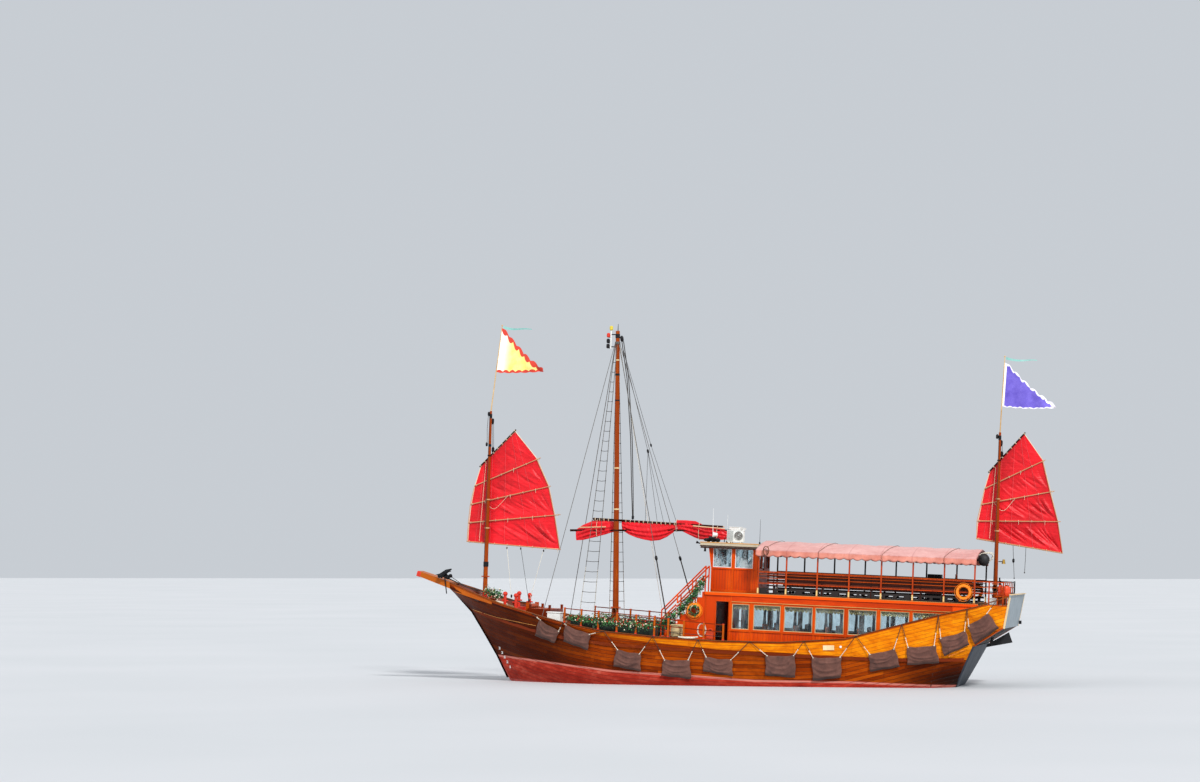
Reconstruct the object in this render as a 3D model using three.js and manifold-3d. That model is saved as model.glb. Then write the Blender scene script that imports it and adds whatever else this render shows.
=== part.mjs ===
// Chinese junk with a motor, afloat: millimetres, +Z up, bow towards -X, port side towards -Y.
// The boat is drawn level, and the whole group is then turned by the trim that it floats at.
// The origin is at the middle of the waterline's length, on the water's surface.
import * as THREE from 'three';
import { mergeVertices } from 'three/addons/utils/BufferGeometryUtils.js';
import Module from 'manifold-3d';

const wasm = await Module();
wasm.setup();

// Driving dimensions
const TRIM_DEGREES = 2.5;
const GAP = 0.3;
const DECK = 1900;
const UPPER_DECK = 4340;
const UPPER_DECK_THICK = 100;
const PLANK = 80;
const WALL = 80;
const CAP_THICK = 50;
const CAP_OUT = 40;
const CAP_IN = 30;

const SALOON = { front: -850, aft: 10700, half: 2400, sill: 2660, head: 3840 };
const DOORWAY = { from: -360, to: 240, head: 3930 };
const WHEELHOUSE = {
  front: -840, brow: -1000, aft: 1380, half: 1500, sill: 5520, head: 6420, top: 6480, wall: 60,
};
const ROOF = { front: -1390, aft: 1430, half: 1750, thick: 220 };
const CANOPY = {
  front: 1450, aft: 11800, half: 2560, hem: 6110, eave: 6430, shoulder: 6730, ridge: 6880, cloth: 20,
};
const POST_HALF_SPAN = 2400;
const POST_SIZE = 70;
const CANOPY_POSTS = [1600, 2930, 4400, 5900, 7400, 8870, 10320, 11720];
const FOREMAST = { foot: [-12500, 0, 3395], top: [-12610, 0, 12700], footRadius: 120, topRadius: 55 };
const MAINMAST = { foot: [-5800, 0, 2010], top: [-6320, 0, 16800], footRadius: 155, topRadius: 100 };
const MIZZENMAST = { foot: [12420, 0, UPPER_DECK + GAP], top: [12400, 0, 12400], footRadius: 110, topRadius: 55 };

// Hull stations. x is at the deck's edge, rake is how far a section leans aft for each unit of height,
// wide is the half-breadth at the deck, low the half-breadth at the level of the origin, or at the keel
// where the keel is above it, and swell is the power of the side's curve (over 1 flares, under 1 bulges).
const STATIONS = [
  // x, rake, keel, deck, wide, low, swell
  [-14150, 0, 3750, 3860, 480, 100, 1.0],
  [-13070, 0, 2810, 3545, 960, 110, 1.1],
  [-12320, 0, 1720, 3350, 1290, 110, 1.2],
  [-11690, 0, 770, 3200, 1560, 120, 1.25],
  [-11000, 0, -420, 3020, 1840, 240, 1.2],
  [-10200, 0, -1150, 2820, 2110, 800, 1.05],
  [-9000, 0, -1450, 2520, 2450, 1500, 0.95],
  [-7500, 0, -1550, 2200, 2820, 2200, 0.85],
  [-5500, 0, -1600, 1980, 3190, 2830, 0.8],
  [-3000, 0, -1600, DECK, 3400, 3180, 0.8],
  [0, 0, -1600, DECK, 3480, 3320, 0.8],
  [3000, 0, -1550, DECK, 3480, 3300, 0.8],
  [6000, 0, -1380, DECK, 3460, 3120, 0.7],
  [8500, 0, -980, DECK, 3420, 2720, 0.55],
  [10200, 0.2, -480, 1980, 3330, 2180, 0.5],
  [11860, 0.47, 100, 2450, 3000, 300, 0.38],
].map(([x, rake, keel, deck, wide, low, swell]) => ({ x, rake, keel, deck, wide, low, swell }));
const HULL_LEVELS = [0, 0.02, 0.09, 0.2, 0.34, 0.5, 0.66, 0.82, 1];
const BILGE_POWER = 2.3;
const KEEL_HALF = 100;

// The top of the rail cap, and the half-breadth of the bulwark there.
const SHEER = [
  // x, top, half
  [-14150, 4200, 560],
  [-13070, 3870, 1080],
  [-12320, 3655, 1420],
  [-11690, 3475, 1700],
  [-11000, 3300, 1980],
  [-10200, 3130, 2230],
  [-9000, 2865, 2540],
  [-7500, 2560, 2880],
  [-5500, 2295, 3230],
  [-3000, 2175, 3430],
  [0, 2135, 3500],
  [3000, 2215, 3500],
  [6000, 2530, 3500],
  [8500, 3290, 3500],
  [10200, 3810, 3460],
  [11860, 4250, 3400],
  [13400, 4810, 3300],
].map(([x, top, half]) => ({ x, top, half }));

// Materials

const COLOURS = {
  planking: ['#6b2f1a', 0.45, 0],
  varnish: ['#c8551a', 0.35, 0],
  band: ['#e0851f', 0.35, 0],
  cabin: ['#cf4a17', 0.35, 0],
  trim: ['#b98a63', 0.5, 0],
  deckwood: ['#9a7350', 0.7, 0],
  grey: ['#5f6f80', 0.5, 0],
  black: ['#17171a', 0.6, 0],
  mast: ['#b4561d', 0.4, 0],
  bamboo: ['#8a5a33', 0.6, 0],
  sailcloth: ['#e11a2c', 0.85, 0],
  awning: ['#e59a94', 0.9, 0],
  glass: ['#a9c4cc', 0.1, 0],
  white: ['#e9e9e6', 0.5, 0],
  ring: ['#f07c1c', 0.6, 0],
  mat: ['#5d4a45', 0.95, 0],
  rope: ['#8d8578', 0.9, 0],
  red: ['#c4261b', 0.5, 0],
  bronze: ['#b08a3c', 0.35, 0.9],
  yellow: ['#f4d64e', 0.8, 0],
  violet: ['#6a50b8', 0.8, 0],
};

const boat = new THREE.Group();
boat.rotation.y = THREE.MathUtils.degToRad(TRIM_DEGREES);

function add(name, geometry, finish) {
  const [color, roughness, metalness] = COLOURS[finish];
  const mesh = new THREE.Mesh(geometry, new THREE.MeshStandardMaterial({ color, roughness, metalness }));
  mesh.name = name;
  boat.add(mesh);
  return geometry;
}

// Shapes

const lerp = THREE.MathUtils.lerp;
const vector = (p) => new THREE.Vector3(...p);

function block(x0, x1, y0, y1, z0, z1) {
  const box = new THREE.BoxGeometry(x1 - x0, y1 - y0, z1 - z0);
  return box.translate((x0 + x1) / 2, (y0 + y1) / 2, (z0 + z1) / 2);
}

// A plate whose outline is in x and z, from y0 to y1.
function plateY(outline, y0, y1) {
  const shape = new THREE.Shape(outline.map(([x, z]) => new THREE.Vector2(x, z)));
  const plate = new THREE.ExtrudeGeometry(shape, { depth: y1 - y0, bevelEnabled: false });
  return plate.rotateX(Math.PI / 2).translate(0, y1, 0);
}

// A bar whose section is in y and z, from x0 to x1.
function barX(section, x0, x1) {
  const shape = new THREE.Shape(section.map(([y, z]) => new THREE.Vector2(y, z)));
  const bar = new THREE.ExtrudeGeometry(shape, { depth: x1 - x0, bevelEnabled: false });
  const axes = new THREE.Matrix4().makeBasis(vector([0, 1, 0]), vector([0, 0, 1]), vector([1, 0, 0]));
  return bar.applyMatrix4(axes).translate(x0, 0, 0);
}

// A round pole from one point to another.
function pole(from, to, startRadius, endRadius = startRadius, sides = 8, turn = 0) {
  const start = vector(from);
  const along = vector(to).sub(start);
  const cylinder = new THREE.CylinderGeometry(endRadius, startRadius, along.length(), sides, 1, false, turn);
  const swing = new THREE.Quaternion().setFromUnitVectors(vector([0, 1, 0]), along.clone().normalize());
  return cylinder.applyQuaternion(swing).translate(...start.addScaledVector(along, 0.5).toArray());
}

// A square timber from one point to another.
function timber(from, to, size) {
  return pole(from, to, size / Math.SQRT2, size / Math.SQRT2, 4, Math.PI / 4);
}

// A skin through rings of points that all have the same count, closed at both ends. The second half of
// each ring has its diagonals the other way, so a ring that mirrors itself gives a shape that does too.
function loft(rings) {
  const count = rings[0].length;
  const corners = rings.flat(2);
  const faces = [];
  rings.slice(1).forEach((ring, r) => {
    for (let i = 0; i < count; i += 1) {
      const here = r * count + i;
      const next = r * count + ((i + 1) % count);
      if (i < count / 2) faces.push(here, next, here + count, next, next + count, here + count);
      else faces.push(here, next, next + count, here, next + count, here + count);
    }
  });
  const last = (rings.length - 1) * count;
  for (let i = 1; i < count - 1; i += 1) {
    faces.push(0, i + 1, i, last, last + i, last + i + 1);
  }
  const geometry = new THREE.BufferGeometry();
  geometry.setAttribute('position', new THREE.Float32BufferAttribute(corners, 3));
  geometry.setIndex(signedVolume(corners, faces) < 0 ? faces.reverse() : faces);
  return geometry;
}

function signedVolume(corners, faces) {
  const corner = (i) => new THREE.Vector3().fromArray(corners, faces[i] * 3);
  let volume = 0;
  for (let i = 0; i < faces.length; i += 3) {
    volume += corner(i).dot(corner(i + 1).cross(corner(i + 2)));
  }
  return volume;
}

function solid(geometry) {
  const bare = geometry.clone();
  bare.deleteAttribute('normal');
  bare.deleteAttribute('uv');
  const merged = mergeVertices(bare, 0.002);
  const vertProperties = new Float32Array(merged.attributes.position.array);
  const triVerts = new Uint32Array(merged.index.array);
  return new wasm.Manifold(new wasm.Mesh({ numProp: 3, vertProperties, triVerts }));
}

function skin(body) {
  const { vertProperties, triVerts } = body.getMesh();
  const geometry = new THREE.BufferGeometry();
  geometry.setAttribute('position', new THREE.BufferAttribute(vertProperties, 3));
  geometry.setIndex(new THREE.BufferAttribute(triVerts, 1));
  return geometry;
}

const join = (...shapes) => skin(shapes.map(solid).reduce((all, next) => all.add(next)));
const cut = (shape, ...tools) => skin(tools.map(solid).reduce((left, tool) => left.subtract(tool), solid(shape)));
const moved = (shape, x, y, z) => shape.clone().translate(x, y, z);

function mirrored(shape) {
  const other = shape.clone().scale(1, -1, 1);
  const index = other.index ? [...other.index.array] : [...Array(other.attributes.position.count).keys()];
  other.setIndex(index.reverse());
  return other;
}

const bothSides = (shape) => [shape, mirrored(shape)];

// Values between the rows of a table whose rows have an x.
function at(table, x, key) {
  const next = Math.min(Math.max(table.findIndex((row) => row.x >= x), 1), table.length - 1);
  const [a, b] = [table[next - 1], table[next]];
  return lerp(a[key], b[key], (x - a.x) / (b.x - a.x));
}

// Hull

function sideOf(station, z) {
  const { keel, deck, wide, low, swell } = station;
  if (z < 0 && keel < 0) {
    const drop = Math.min(z / keel, 1) ** BILGE_POWER;
    return KEEL_HALF + (low - KEEL_HALF) * (1 - drop) ** (1 / BILGE_POWER);
  }
  const bottom = Math.max(keel, 0);
  return low + (wide - low) * Math.max((z - bottom) / (deck - bottom), 0) ** swell;
}

function hullRing(station, shift = 0) {
  const port = HULL_LEVELS.map((level) => {
    const z = lerp(station.keel, station.deck, level);
    return [station.x + shift - station.rake * (station.deck - z), -sideOf(station, z), z];
  });
  return [...port, ...port.toReversed().map(([x, y, z]) => [x, -y, z])];
}

// The half-breadth of the boat's side at any place, bulwark included.
function sideAt(x, z) {
  const next = Math.min(Math.max(STATIONS.findIndex((row) => row.x >= x), 1), STATIONS.length - 1);
  const [a, b] = [STATIONS[next - 1], STATIONS[next]];
  const share = (x - a.x) / (b.x - a.x);
  const deck = lerp(a.deck, b.deck, share);
  if (z <= deck) return lerp(sideOf(a, z), sideOf(b, z), share);
  const wide = lerp(a.wide, b.wide, share);
  const rise = (z - deck) / (at(SHEER, x, 'top') - deck);
  return lerp(wide, at(SHEER, x, 'half'), Math.min(rise, 1));
}

// The stern gallery that overhangs the lower transom: x is at its foot, and lean is how far its top is aft.
const GALLERY = [
  // x, lean, foot, top, footHalf, topHalf
  [10750, 0, 1900, at(SHEER, 10750, 'top') - CAP_THICK, 3230, 3430],
  [11840, 20, 2445, 4200, 3000, 3400],
  [13170, 234, 3320, 4760, 3200, 3300],
].map(([x, lean, foot, top, footHalf, topHalf]) => ({ x, lean, foot, top, footHalf, topHalf }));

function gallery() {
  const rings = GALLERY.map(({ x, lean, foot, top, footHalf, topHalf }) => [
    [x, -footHalf, foot],
    [x + lean, -topHalf, top],
    [x + lean, topHalf, top],
    [x, footHalf, foot],
  ]);
  const well = loft([11910, 13500].map((x) => {
    const half = at(SHEER, x, 'half') - 120;
    return [[x, -half, UPPER_DECK], [x, -half, 5200], [x, half, 5200], [x, half, UPPER_DECK]];
  }));
  return cut(loft(rings), well);
}

// The bore in the gallery that the hoisted stern rudder's stock turns in.
const TRUNK = { radius: 62.6, foot: 2600, top: 3250, x: (z) => 12330 + ((z - 2600) * 150) / 650 };
const trunk = pole(
  [TRUNK.x(TRUNK.foot), 0, TRUNK.foot], [TRUNK.x(TRUNK.top), 0, TRUNK.top], TRUNK.radius, TRUNK.radius, 32,
);

// The bore in the hull that the working rudder's stock turns in.
const RUDDER = { stock: 10250, radius: 55, bore: 55.6, foot: -900, top: -160 };
const rudderTrunk = pole(
  [RUDDER.stock, 0, RUDDER.foot], [RUDDER.stock, 0, RUDDER.top + 20], RUDDER.bore, RUDDER.bore, 32,
);

const hullBody = join(loft(STATIONS.map((s) => hullRing(s))), gallery());
const hull = add('hull', cut(hullBody, trunk, rudderTrunk), 'planking');
const hullAbove = moved(hull, 0, 0, GAP);

const KEEL = { bottom: -1950, half: 130, front: -9900, aft: 9300, shoeAft: 10350, shoeTop: -1860 };
const SHAFT = { z: -1120, radius: 90, end: 9480 };

function keel() {
  const bar = plateY([
    [KEEL.front - 500, -900], [KEEL.front, -1500], [KEEL.front + 1000, KEEL.bottom],
    [KEEL.shoeAft, KEEL.bottom], [KEEL.shoeAft, KEEL.shoeTop], [KEEL.aft, KEEL.shoeTop],
    [KEEL.aft, -300], [0, -1000],
  ], -KEEL.half, KEEL.half);
  const boss = pole([KEEL.aft - 400, 0, SHAFT.z], [SHAFT.end, 0, SHAFT.z], SHAFT.radius + 20, SHAFT.radius - 30, 16);
  return cut(join(bar, boss), moved(hull, 0, 0, -GAP));
}
add('keel', keel(), 'planking');

const BOW = STATIONS[0].x - GAP;
const platform = add('bow_platform', loft([
  [[-15930, -380, 4440], [-15840, -380, 4670], [-15840, 380, 4670], [-15930, 380, 4440]],
  [[BOW, -560, 3880], [BOW, -560, 4200], [BOW, 560, 4200], [BOW, 560, 3880]],
]), 'band');

const BULWARK_AFT = 10750 - GAP;
const bulwarkXs = [...STATIONS.map((s) => s.x).filter((x) => x < BULWARK_AFT), BULWARK_AFT];

function bulwark() {
  const port = loft(bulwarkXs.map((x) => {
    const [foot, top] = [at(STATIONS, x, 'wide'), at(SHEER, x, 'half')];
    const [low, high] = [at(STATIONS, x, 'deck') + GAP, at(SHEER, x, 'top') - CAP_THICK];
    return [[x, -foot, low], [x, -top, high], [x, PLANK - top, high], [x, PLANK - foot, low]];
  }));
  const [bow, foot] = [STATIONS[0].x, STATIONS[0].deck + GAP];
  const board = block(bow, bow + PLANK, -470, 470, foot, at(SHEER, bow + PLANK, 'top') - CAP_THICK);
  return join(...bothSides(port), board);
}
add('bulwark', bulwark(), 'planking');

function railCap() {
  const port = loft(SHEER.map(({ x, top, half }) => [
    [x, -half - CAP_OUT, top - CAP_THICK + GAP],
    [x, -half - CAP_OUT, top],
    [x, PLANK + CAP_IN - half, top],
    [x, PLANK + CAP_IN - half, top - CAP_THICK + GAP],
  ]));
  const bow = SHEER[0];
  const across = loft([bow.x, bow.x + 150].map((x) => {
    const top = at(SHEER, x, 'top');
    const low = top - CAP_THICK + GAP;
    return [[x, -500, low], [x, -500, top], [x, 500, top], [x, 500, low]];
  }));
  return join(...bothSides(port), across);
}
const cap = add('rail_cap', railCap(), 'varnish');

// The height of the wale's middle along the side.
const WALE = [
  [-12900, 2890], [-11800, 2620], [-9150, 2060], [-7500, 1830], [-5500, 1680], [-3000, 1620],
  [0, 1600], [4000, 1600], [8000, 1640], [11400, 1800],
].map(([x, z]) => ({ x, z }));
const WALE_HIGH = 150;
const WALE_OUT = 60;

const halfway = STATIONS.slice(1).map((s, i) => (STATIONS[i].x + s.x) / 2);
const waleXs = [...STATIONS.map((s) => s.x), ...halfway, WALE[0].x, WALE.at(-1).x]
  .filter((x) => x >= WALE[0].x && x <= WALE.at(-1).x)
  .toSorted((a, b) => a - b);

function wale() {
  const rings = waleXs.map((x) => {
    const z = at(WALE, x, 'z');
    const half = sideAt(x, z);
    const [inside, outside] = [Math.max(half - 250, 5), half + WALE_OUT];
    const [low, high] = [z - WALE_HIGH / 2, z + WALE_HIGH / 2];
    return [[x, -inside, low], [x, -outside, low], [x, -outside, high], [x, -inside, high]];
  });
  return cut(loft(rings), moved(hull, 0, -GAP, 0));
}
const walePort = wale();
add('wale_port', walePort, 'varnish');
add('wale_starboard', mirrored(walePort), 'varnish');

add('transom_upper', loft([
  [[13170 + GAP, -3230, 3320], [13235, -3230, 3320], [13235, 3230, 3320], [13170 + GAP, 3230, 3320]],
  [[13420, -3330, 4850], [13485, -3330, 4850], [13485, 3330, 4850], [13420, 3330, 4850]],
]), 'grey');

const sternStation = STATIONS.at(-1);
add('transom_lower', loft([hullRing(sternStation, GAP), hullRing(sternStation, 40)]), 'grey');

// Waist rails on the cap, both sides

const WAIST_POSTS = [
  // x, top of the post
  [-7620, 3270], [-6750, 3230], [-5870, 3200], [-4930, 3160], [-3980, 3120], [-3070, 3090],
  [-2400, 3010], [-1640, 2970], [-680, 2920], [250, 2880],
];

function waistRail() {
  const tops = WAIST_POSTS.map(([x, z]) => [x, 20 - at(SHEER, x, 'half'), z]);
  const posts = tops.map(([x, y, z]) => timber([x, y, at(SHEER, x, 'top') - 15], [x, y, z], 60));
  const runs = tops.slice(1).flatMap((end, i) => [0, 330].map((drop) => {
    const [a, b] = [tops[i], end];
    return timber([a[0], a[1], a[2] - drop - 20], [b[0], b[1], b[2] - drop - 20], 44);
  }));
  return cut(join(...posts, ...runs), moved(cap, 0, 0, GAP));
}
const waistPort = waistRail();
add('waist_rail_port', waistPort, 'varnish');
add('waist_rail_starboard', mirrored(waistPort), 'varnish');

// Stairs from the waist to the upper deck, port side

const STAIRS = { foot: -3050, top: -1060, aft: -900 - GAP, inner: -1600, outer: -2400, steps: 9, railHigh: 1210 };

function stairs() {
  const rise = (UPPER_DECK - DECK - GAP) / STAIRS.steps;
  const run = (STAIRS.top - STAIRS.foot) / (STAIRS.steps - 1);
  const outline = [[STAIRS.aft, DECK - 20], [STAIRS.foot, DECK - 20]];
  for (let step = 0; step < STAIRS.steps; step += 1) {
    const x = STAIRS.foot + run * step;
    const z = DECK + GAP + rise * (step + 1);
    outline.push([x, z], [step === STAIRS.steps - 1 ? STAIRS.aft : x + run, z]);
  }
  const treads = plateY(outline.toReversed(), STAIRS.outer, STAIRS.inner);
  const rails = [STAIRS.outer + 30, STAIRS.inner - 30].flatMap((y) => {
    const low = [STAIRS.foot + 60, y, DECK + rise + STAIRS.railHigh];
    const high = [STAIRS.aft - 30, y, UPPER_DECK + STAIRS.railHigh];
    const posts = [0, 0.36, 0.7, 1].map((share) => {
      const [x, , z] = low.map((value, i) => lerp(value, high[i], share));
      return timber([x, y, z - STAIRS.railHigh - 60], [x, y, z + 20], 55);
    });
    const hand = [0, 420].map((drop) => timber([low[0], y, low[2] - drop], [high[0], y, high[2] - drop], 50));
    return [...posts, ...hand];
  });
  return cut(join(treads, ...rails), hullAbove);
}
add('stairs', stairs(), 'cabin');

// Saloon

const WINDOWS = [
  // from, to
  [410, 1230], [1440, 2730], [2900, 4250], [4370, 5730], [5920, 7250], [7420, 8770], [8920, 10320],
];
const UNDER_DECK = UPPER_DECK - UPPER_DECK_THICK - GAP;

function saloonSide() {
  const { front, aft, half, sill, head } = SALOON;
  const wall = block(front, aft, -half, WALL - half, DECK - 100, UNDER_DECK);
  const holes = WINDOWS.map(([from, to]) => block(from, to, -half - 50, WALL - half + 50, sill, head));
  const door = block(DOORWAY.from, DOORWAY.to, -half - 50, WALL - half + 50, DECK - 200, DOORWAY.head);
  return cut(wall, ...holes, door, hullAbove);
}
const saloonPort = saloonSide();
add('saloon_wall_port', saloonPort, 'cabin');
add('saloon_wall_starboard', mirrored(saloonPort), 'cabin');

const inner = SALOON.half - WALL - GAP;
const crossWall = (x0, x1) => block(x0, x1, -inner, inner, DECK - 100, UNDER_DECK);
add('saloon_wall_front', cut(crossWall(SALOON.front, SALOON.front + WALL), hullAbove), 'cabin');
add('saloon_wall_aft', cut(crossWall(SALOON.aft - WALL, SALOON.aft), hullAbove), 'cabin');
const innerDoor = block(200, 500, -400, 400, DECK - 200, DOORWAY.head);
add('saloon_bulkhead', cut(crossWall(290, 350), hullAbove, innerDoor), 'cabin');

const PANE = { from: 360, thick: 8, lap: 40 };
const panePort = block(
  PANE.from, SALOON.aft - WALL - GAP, GAP - inner, GAP + PANE.thick - inner,
  SALOON.sill - PANE.lap, SALOON.head + PANE.lap,
);
add('saloon_glass_port', panePort, 'glass');
add('saloon_glass_starboard', mirrored(panePort), 'glass');

const DECK_SIDE = 2450;
add('upper_deck', block(
  -900, 11900, -DECK_SIDE, DECK_SIDE, UPPER_DECK - UPPER_DECK_THICK, UPPER_DECK,
), 'deckwood');

const FASCIA = { from: 380, to: 10740, low: 3960, thick: 30 };
const fasciaPort = block(
  FASCIA.from, FASCIA.to, -SALOON.half - GAP - FASCIA.thick, -SALOON.half - GAP, FASCIA.low, UNDER_DECK,
);
add('fascia_port', fasciaPort, 'cabin');
add('fascia_starboard', mirrored(fasciaPort), 'cabin');

// Wheelhouse

function wheelhousePrism(inset, low, high) {
  const { front, brow, aft, half, top } = WHEELHOUSE;
  const slope = (brow - front) / (top - 5500);
  return plateY([
    [front + inset, low], [aft - inset, low], [aft - inset, high],
    [front + inset + slope * Math.max(high - 5500, 0), high], [front + inset, 5500],
  ], inset - half, half - inset);
}
const SIDE_WINDOWS = [[-790, 110], [280, 1140]];
const FRONT_WINDOWS = [[-1360, -520], [-420, 420], [520, 1360]];
const AFT_WINDOWS = [[-1360, -560], [560, 1360]];
const WHEEL_DOOR = { half: 360, head: 6250 };

function wheelhouseShell() {
  const { wall, half, sill, head, front, aft, top } = WHEELHOUSE;
  const outer = wheelhousePrism(0, UPPER_DECK + GAP, top);
  const hollow = wheelhousePrism(wall, UPPER_DECK - 100, top + 200);
  const across = SIDE_WINDOWS.map(([from, to]) => block(from, to, -half - 90, half + 90, sill, head));
  const ahead = FRONT_WINDOWS.map(([from, to]) => block(front - 400, front + 200, from, to, sill, head));
  const behind = AFT_WINDOWS.map(([from, to]) => block(aft - 200, aft + 100, from, to, sill, head));
  const door = block(aft - 200, aft + 100, -WHEEL_DOOR.half, WHEEL_DOOR.half, UPPER_DECK - 50, WHEEL_DOOR.head);
  return cut(outer, hollow, ...across, ...ahead, ...behind, door);
}
add('wheelhouse_shell', wheelhouseShell(), 'cabin');

function wheelhouseGlass() {
  const { wall, aft } = WHEELHOUSE;
  const outer = wheelhousePrism(wall + GAP, 5480, 6450);
  const hollow = wheelhousePrism(wall + GAP + 8, 5000, 6900);
  const aisle = block(aft - 300, aft + 100, -WHEEL_DOOR.half - 100, WHEEL_DOOR.half + 100, 5000, 6900);
  return cut(outer, hollow, aisle);
}
add('wheelhouse_glass', wheelhouseGlass(), 'glass');

add('wheelhouse_roof', block(
  ROOF.front, ROOF.aft, -ROOF.half, ROOF.half, WHEELHOUSE.top + GAP, WHEELHOUSE.top + ROOF.thick,
), 'trim');

const DOOR_PLAY = 8;
const HINGE = { x: WHEELHOUSE.aft + 9, y: -WHEEL_DOOR.half - 4 };
function wheelhouseDoor() {
  const { half, head } = WHEEL_DOOR;
  const leaf = block(
    WHEELHOUSE.aft - 45, WHEELHOUSE.aft - 5, DOOR_PLAY - half, half - DOOR_PLAY, UPPER_DECK + 12, head - DOOR_PLAY,
  );
  const window = block(WHEELHOUSE.aft - 100, WHEELHOUSE.aft + 100, -220, 220, 5450, 6080);
  const hinges = [4700, 5900].map((z) => pole(
    [HINGE.x, HINGE.y, z], [HINGE.x, HINGE.y, z + 110], 8.6, 8.6, 12,
  ));
  const tabs = [4700, 5900].flatMap((z) => [
    block(WHEELHOUSE.aft + 1, HINGE.x + 5, HINGE.y, HINGE.y + 72, z, z + 110),
    block(WHEELHOUSE.aft - 20, WHEELHOUSE.aft + 4, DOOR_PLAY - half, HINGE.y + 72, z, z + 110),
  ]);
  return join(cut(leaf, window), ...hinges, ...tabs);
}
add('wheelhouse_door', wheelhouseDoor(), 'cabin');

const ROOF_TOP = WHEELHOUSE.top + ROOF.thick;
const AC_UNITS = [
  // name, from, to, near, far, foot, top
  ['air_conditioner_port', -250, 550, -1110, -780, 60, 590],
  ['air_conditioner_starboard', -640, 0, 1260, 1580, 60, 770],
];
AC_UNITS.forEach(([name, from, to, near, far, foot, top]) => {
  const box = block(from, to, near, far, ROOF_TOP + foot, ROOF_TOP + top);
  const feet = [from + 90, to - 150].map((x) => block(
    x, x + 60, near + 20, far - 20, ROOF_TOP + GAP, ROOF_TOP + foot + 10,
  ));
  add(name, join(box, ...feet), 'white');
});

// Canopy, its posts and the upper rails

const RAIL_HEIGHTS = [4900, 5420];
const STERN_RAIL = { x: 13060, half: 2600 };

function canopyFrame() {
  const { eave, shoulder, ridge, cloth } = CANOPY;
  const drop = cloth + 21.2;
  const shapes = CANOPY_POSTS.flatMap((x) => {
    const half = [
      [x, -POST_HALF_SPAN, eave - drop - 10],
      [x, -1300, shoulder - drop],
      [x, 0, ridge - drop],
    ];
    const posts = timber([x, -POST_HALF_SPAN, UPPER_DECK + GAP], [x, -POST_HALF_SPAN, eave - drop], POST_SIZE);
    const bows = [timber(half[0], half[1], 40), timber(half[1], half[2], 40)];
    return [posts, ...bows].flatMap(bothSides);
  });
  const [front, aft] = [CANOPY_POSTS[0], CANOPY_POSTS.at(-1)];
  const eaveRail = block(front, aft, -POST_HALF_SPAN - 30, 30 - POST_HALF_SPAN, eave - drop - 70, eave - drop - 10);
  const ridgeRail = block(front, aft, -25, 25, ridge - drop - 60, ridge - drop - 10);
  const rails = RAIL_HEIGHTS.map((z) => block(front, aft, -POST_HALF_SPAN - 25, 25 - POST_HALF_SPAN, z - 50, z));
  const sternRuns = RAIL_HEIGHTS.map((z) => timber(
    [aft, -POST_HALF_SPAN, z - 25], [STERN_RAIL.x, -STERN_RAIL.half, z - 25], 50,
  ));
  const sternPosts = [
    timber([STERN_RAIL.x, -STERN_RAIL.half, UPPER_DECK + GAP], [STERN_RAIL.x, -STERN_RAIL.half, 5440], 60),
    timber([12400, -2501, UPPER_DECK + GAP], [12400, -2501, 5440], 60),
  ];
  const across = RAIL_HEIGHTS.map((z) => block(
    STERN_RAIL.x - 25, STERN_RAIL.x + 25, -STERN_RAIL.half, STERN_RAIL.half, z - 50, z,
  ));
  const sideParts = [eaveRail, ...rails, ...sternRuns, ...sternPosts].flatMap(bothSides);
  return join(...shapes, ridgeRail, ...sideParts, ...across);
}
add('canopy_frame', canopyFrame(), 'varnish');

function canopy() {
  const { front, aft, half, hem, eave, shoulder, ridge, cloth } = CANOPY;
  const over = [
    [-half, hem], [-half, eave], [-1300, shoulder], [0, ridge], [1300, shoulder], [half, eave], [half, hem],
  ];
  const side = half - cloth;
  const under = [
    [side, hem], [side, eave - cloth], [1300, shoulder - cloth], [0, ridge - cloth],
    [-1300, shoulder - cloth], [-side, eave - cloth], [-side, hem],
  ];
  return barX([...over, ...under], front, aft);
}
add('canopy', canopy(), 'awning');

const BENCH = { from: 2000, to: 11600, seat: 4780, back: 2320, front: 1830, slats: [5030, 5240] };

function bench() {
  const seat = block(BENCH.from, BENCH.to, -BENCH.back, -BENCH.front, BENCH.seat - 40, BENCH.seat);
  const legs = [2300, 4600, 6900, 9200, 11200].flatMap((x) => [
    block(x, x + 45, -BENCH.back, -BENCH.front - 40, UPPER_DECK + GAP, BENCH.seat - 20),
    block(x, x + 45, -BENCH.back, 50 - BENCH.back, UPPER_DECK + GAP, 5330),
  ]);
  const slats = BENCH.slats.map((z) => block(
    BENCH.from, BENCH.to, 20 - BENCH.back, 50 - BENCH.back, z - 55, z + 45,
  ));
  return join(seat, ...legs, ...slats);
}
const benchPort = bench();
add('bench_port', benchPort, 'deckwood');
add('bench_starboard', mirrored(benchPort), 'deckwood');

// Life rings

const RING = { radius: 300, tube: 75, halfThick: 75 * Math.cos(Math.PI / 6) };
const ring = () => new THREE.TorusGeometry(RING.radius, RING.tube, 6, 16).rotateX(Math.PI / 2);
const railFace = POST_HALF_SPAN + POST_SIZE / 2;
add('life_ring_fore', ring().translate(-1400, STAIRS.outer - RING.halfThick - GAP, 3440), 'ring');
const ringAft = ring().translate(11240, -railFace - RING.halfThick - GAP + 10, 4880);
add('life_ring_aft_port', ringAft, 'ring');
add('life_ring_aft_starboard', mirrored(ringAft), 'ring');

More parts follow.
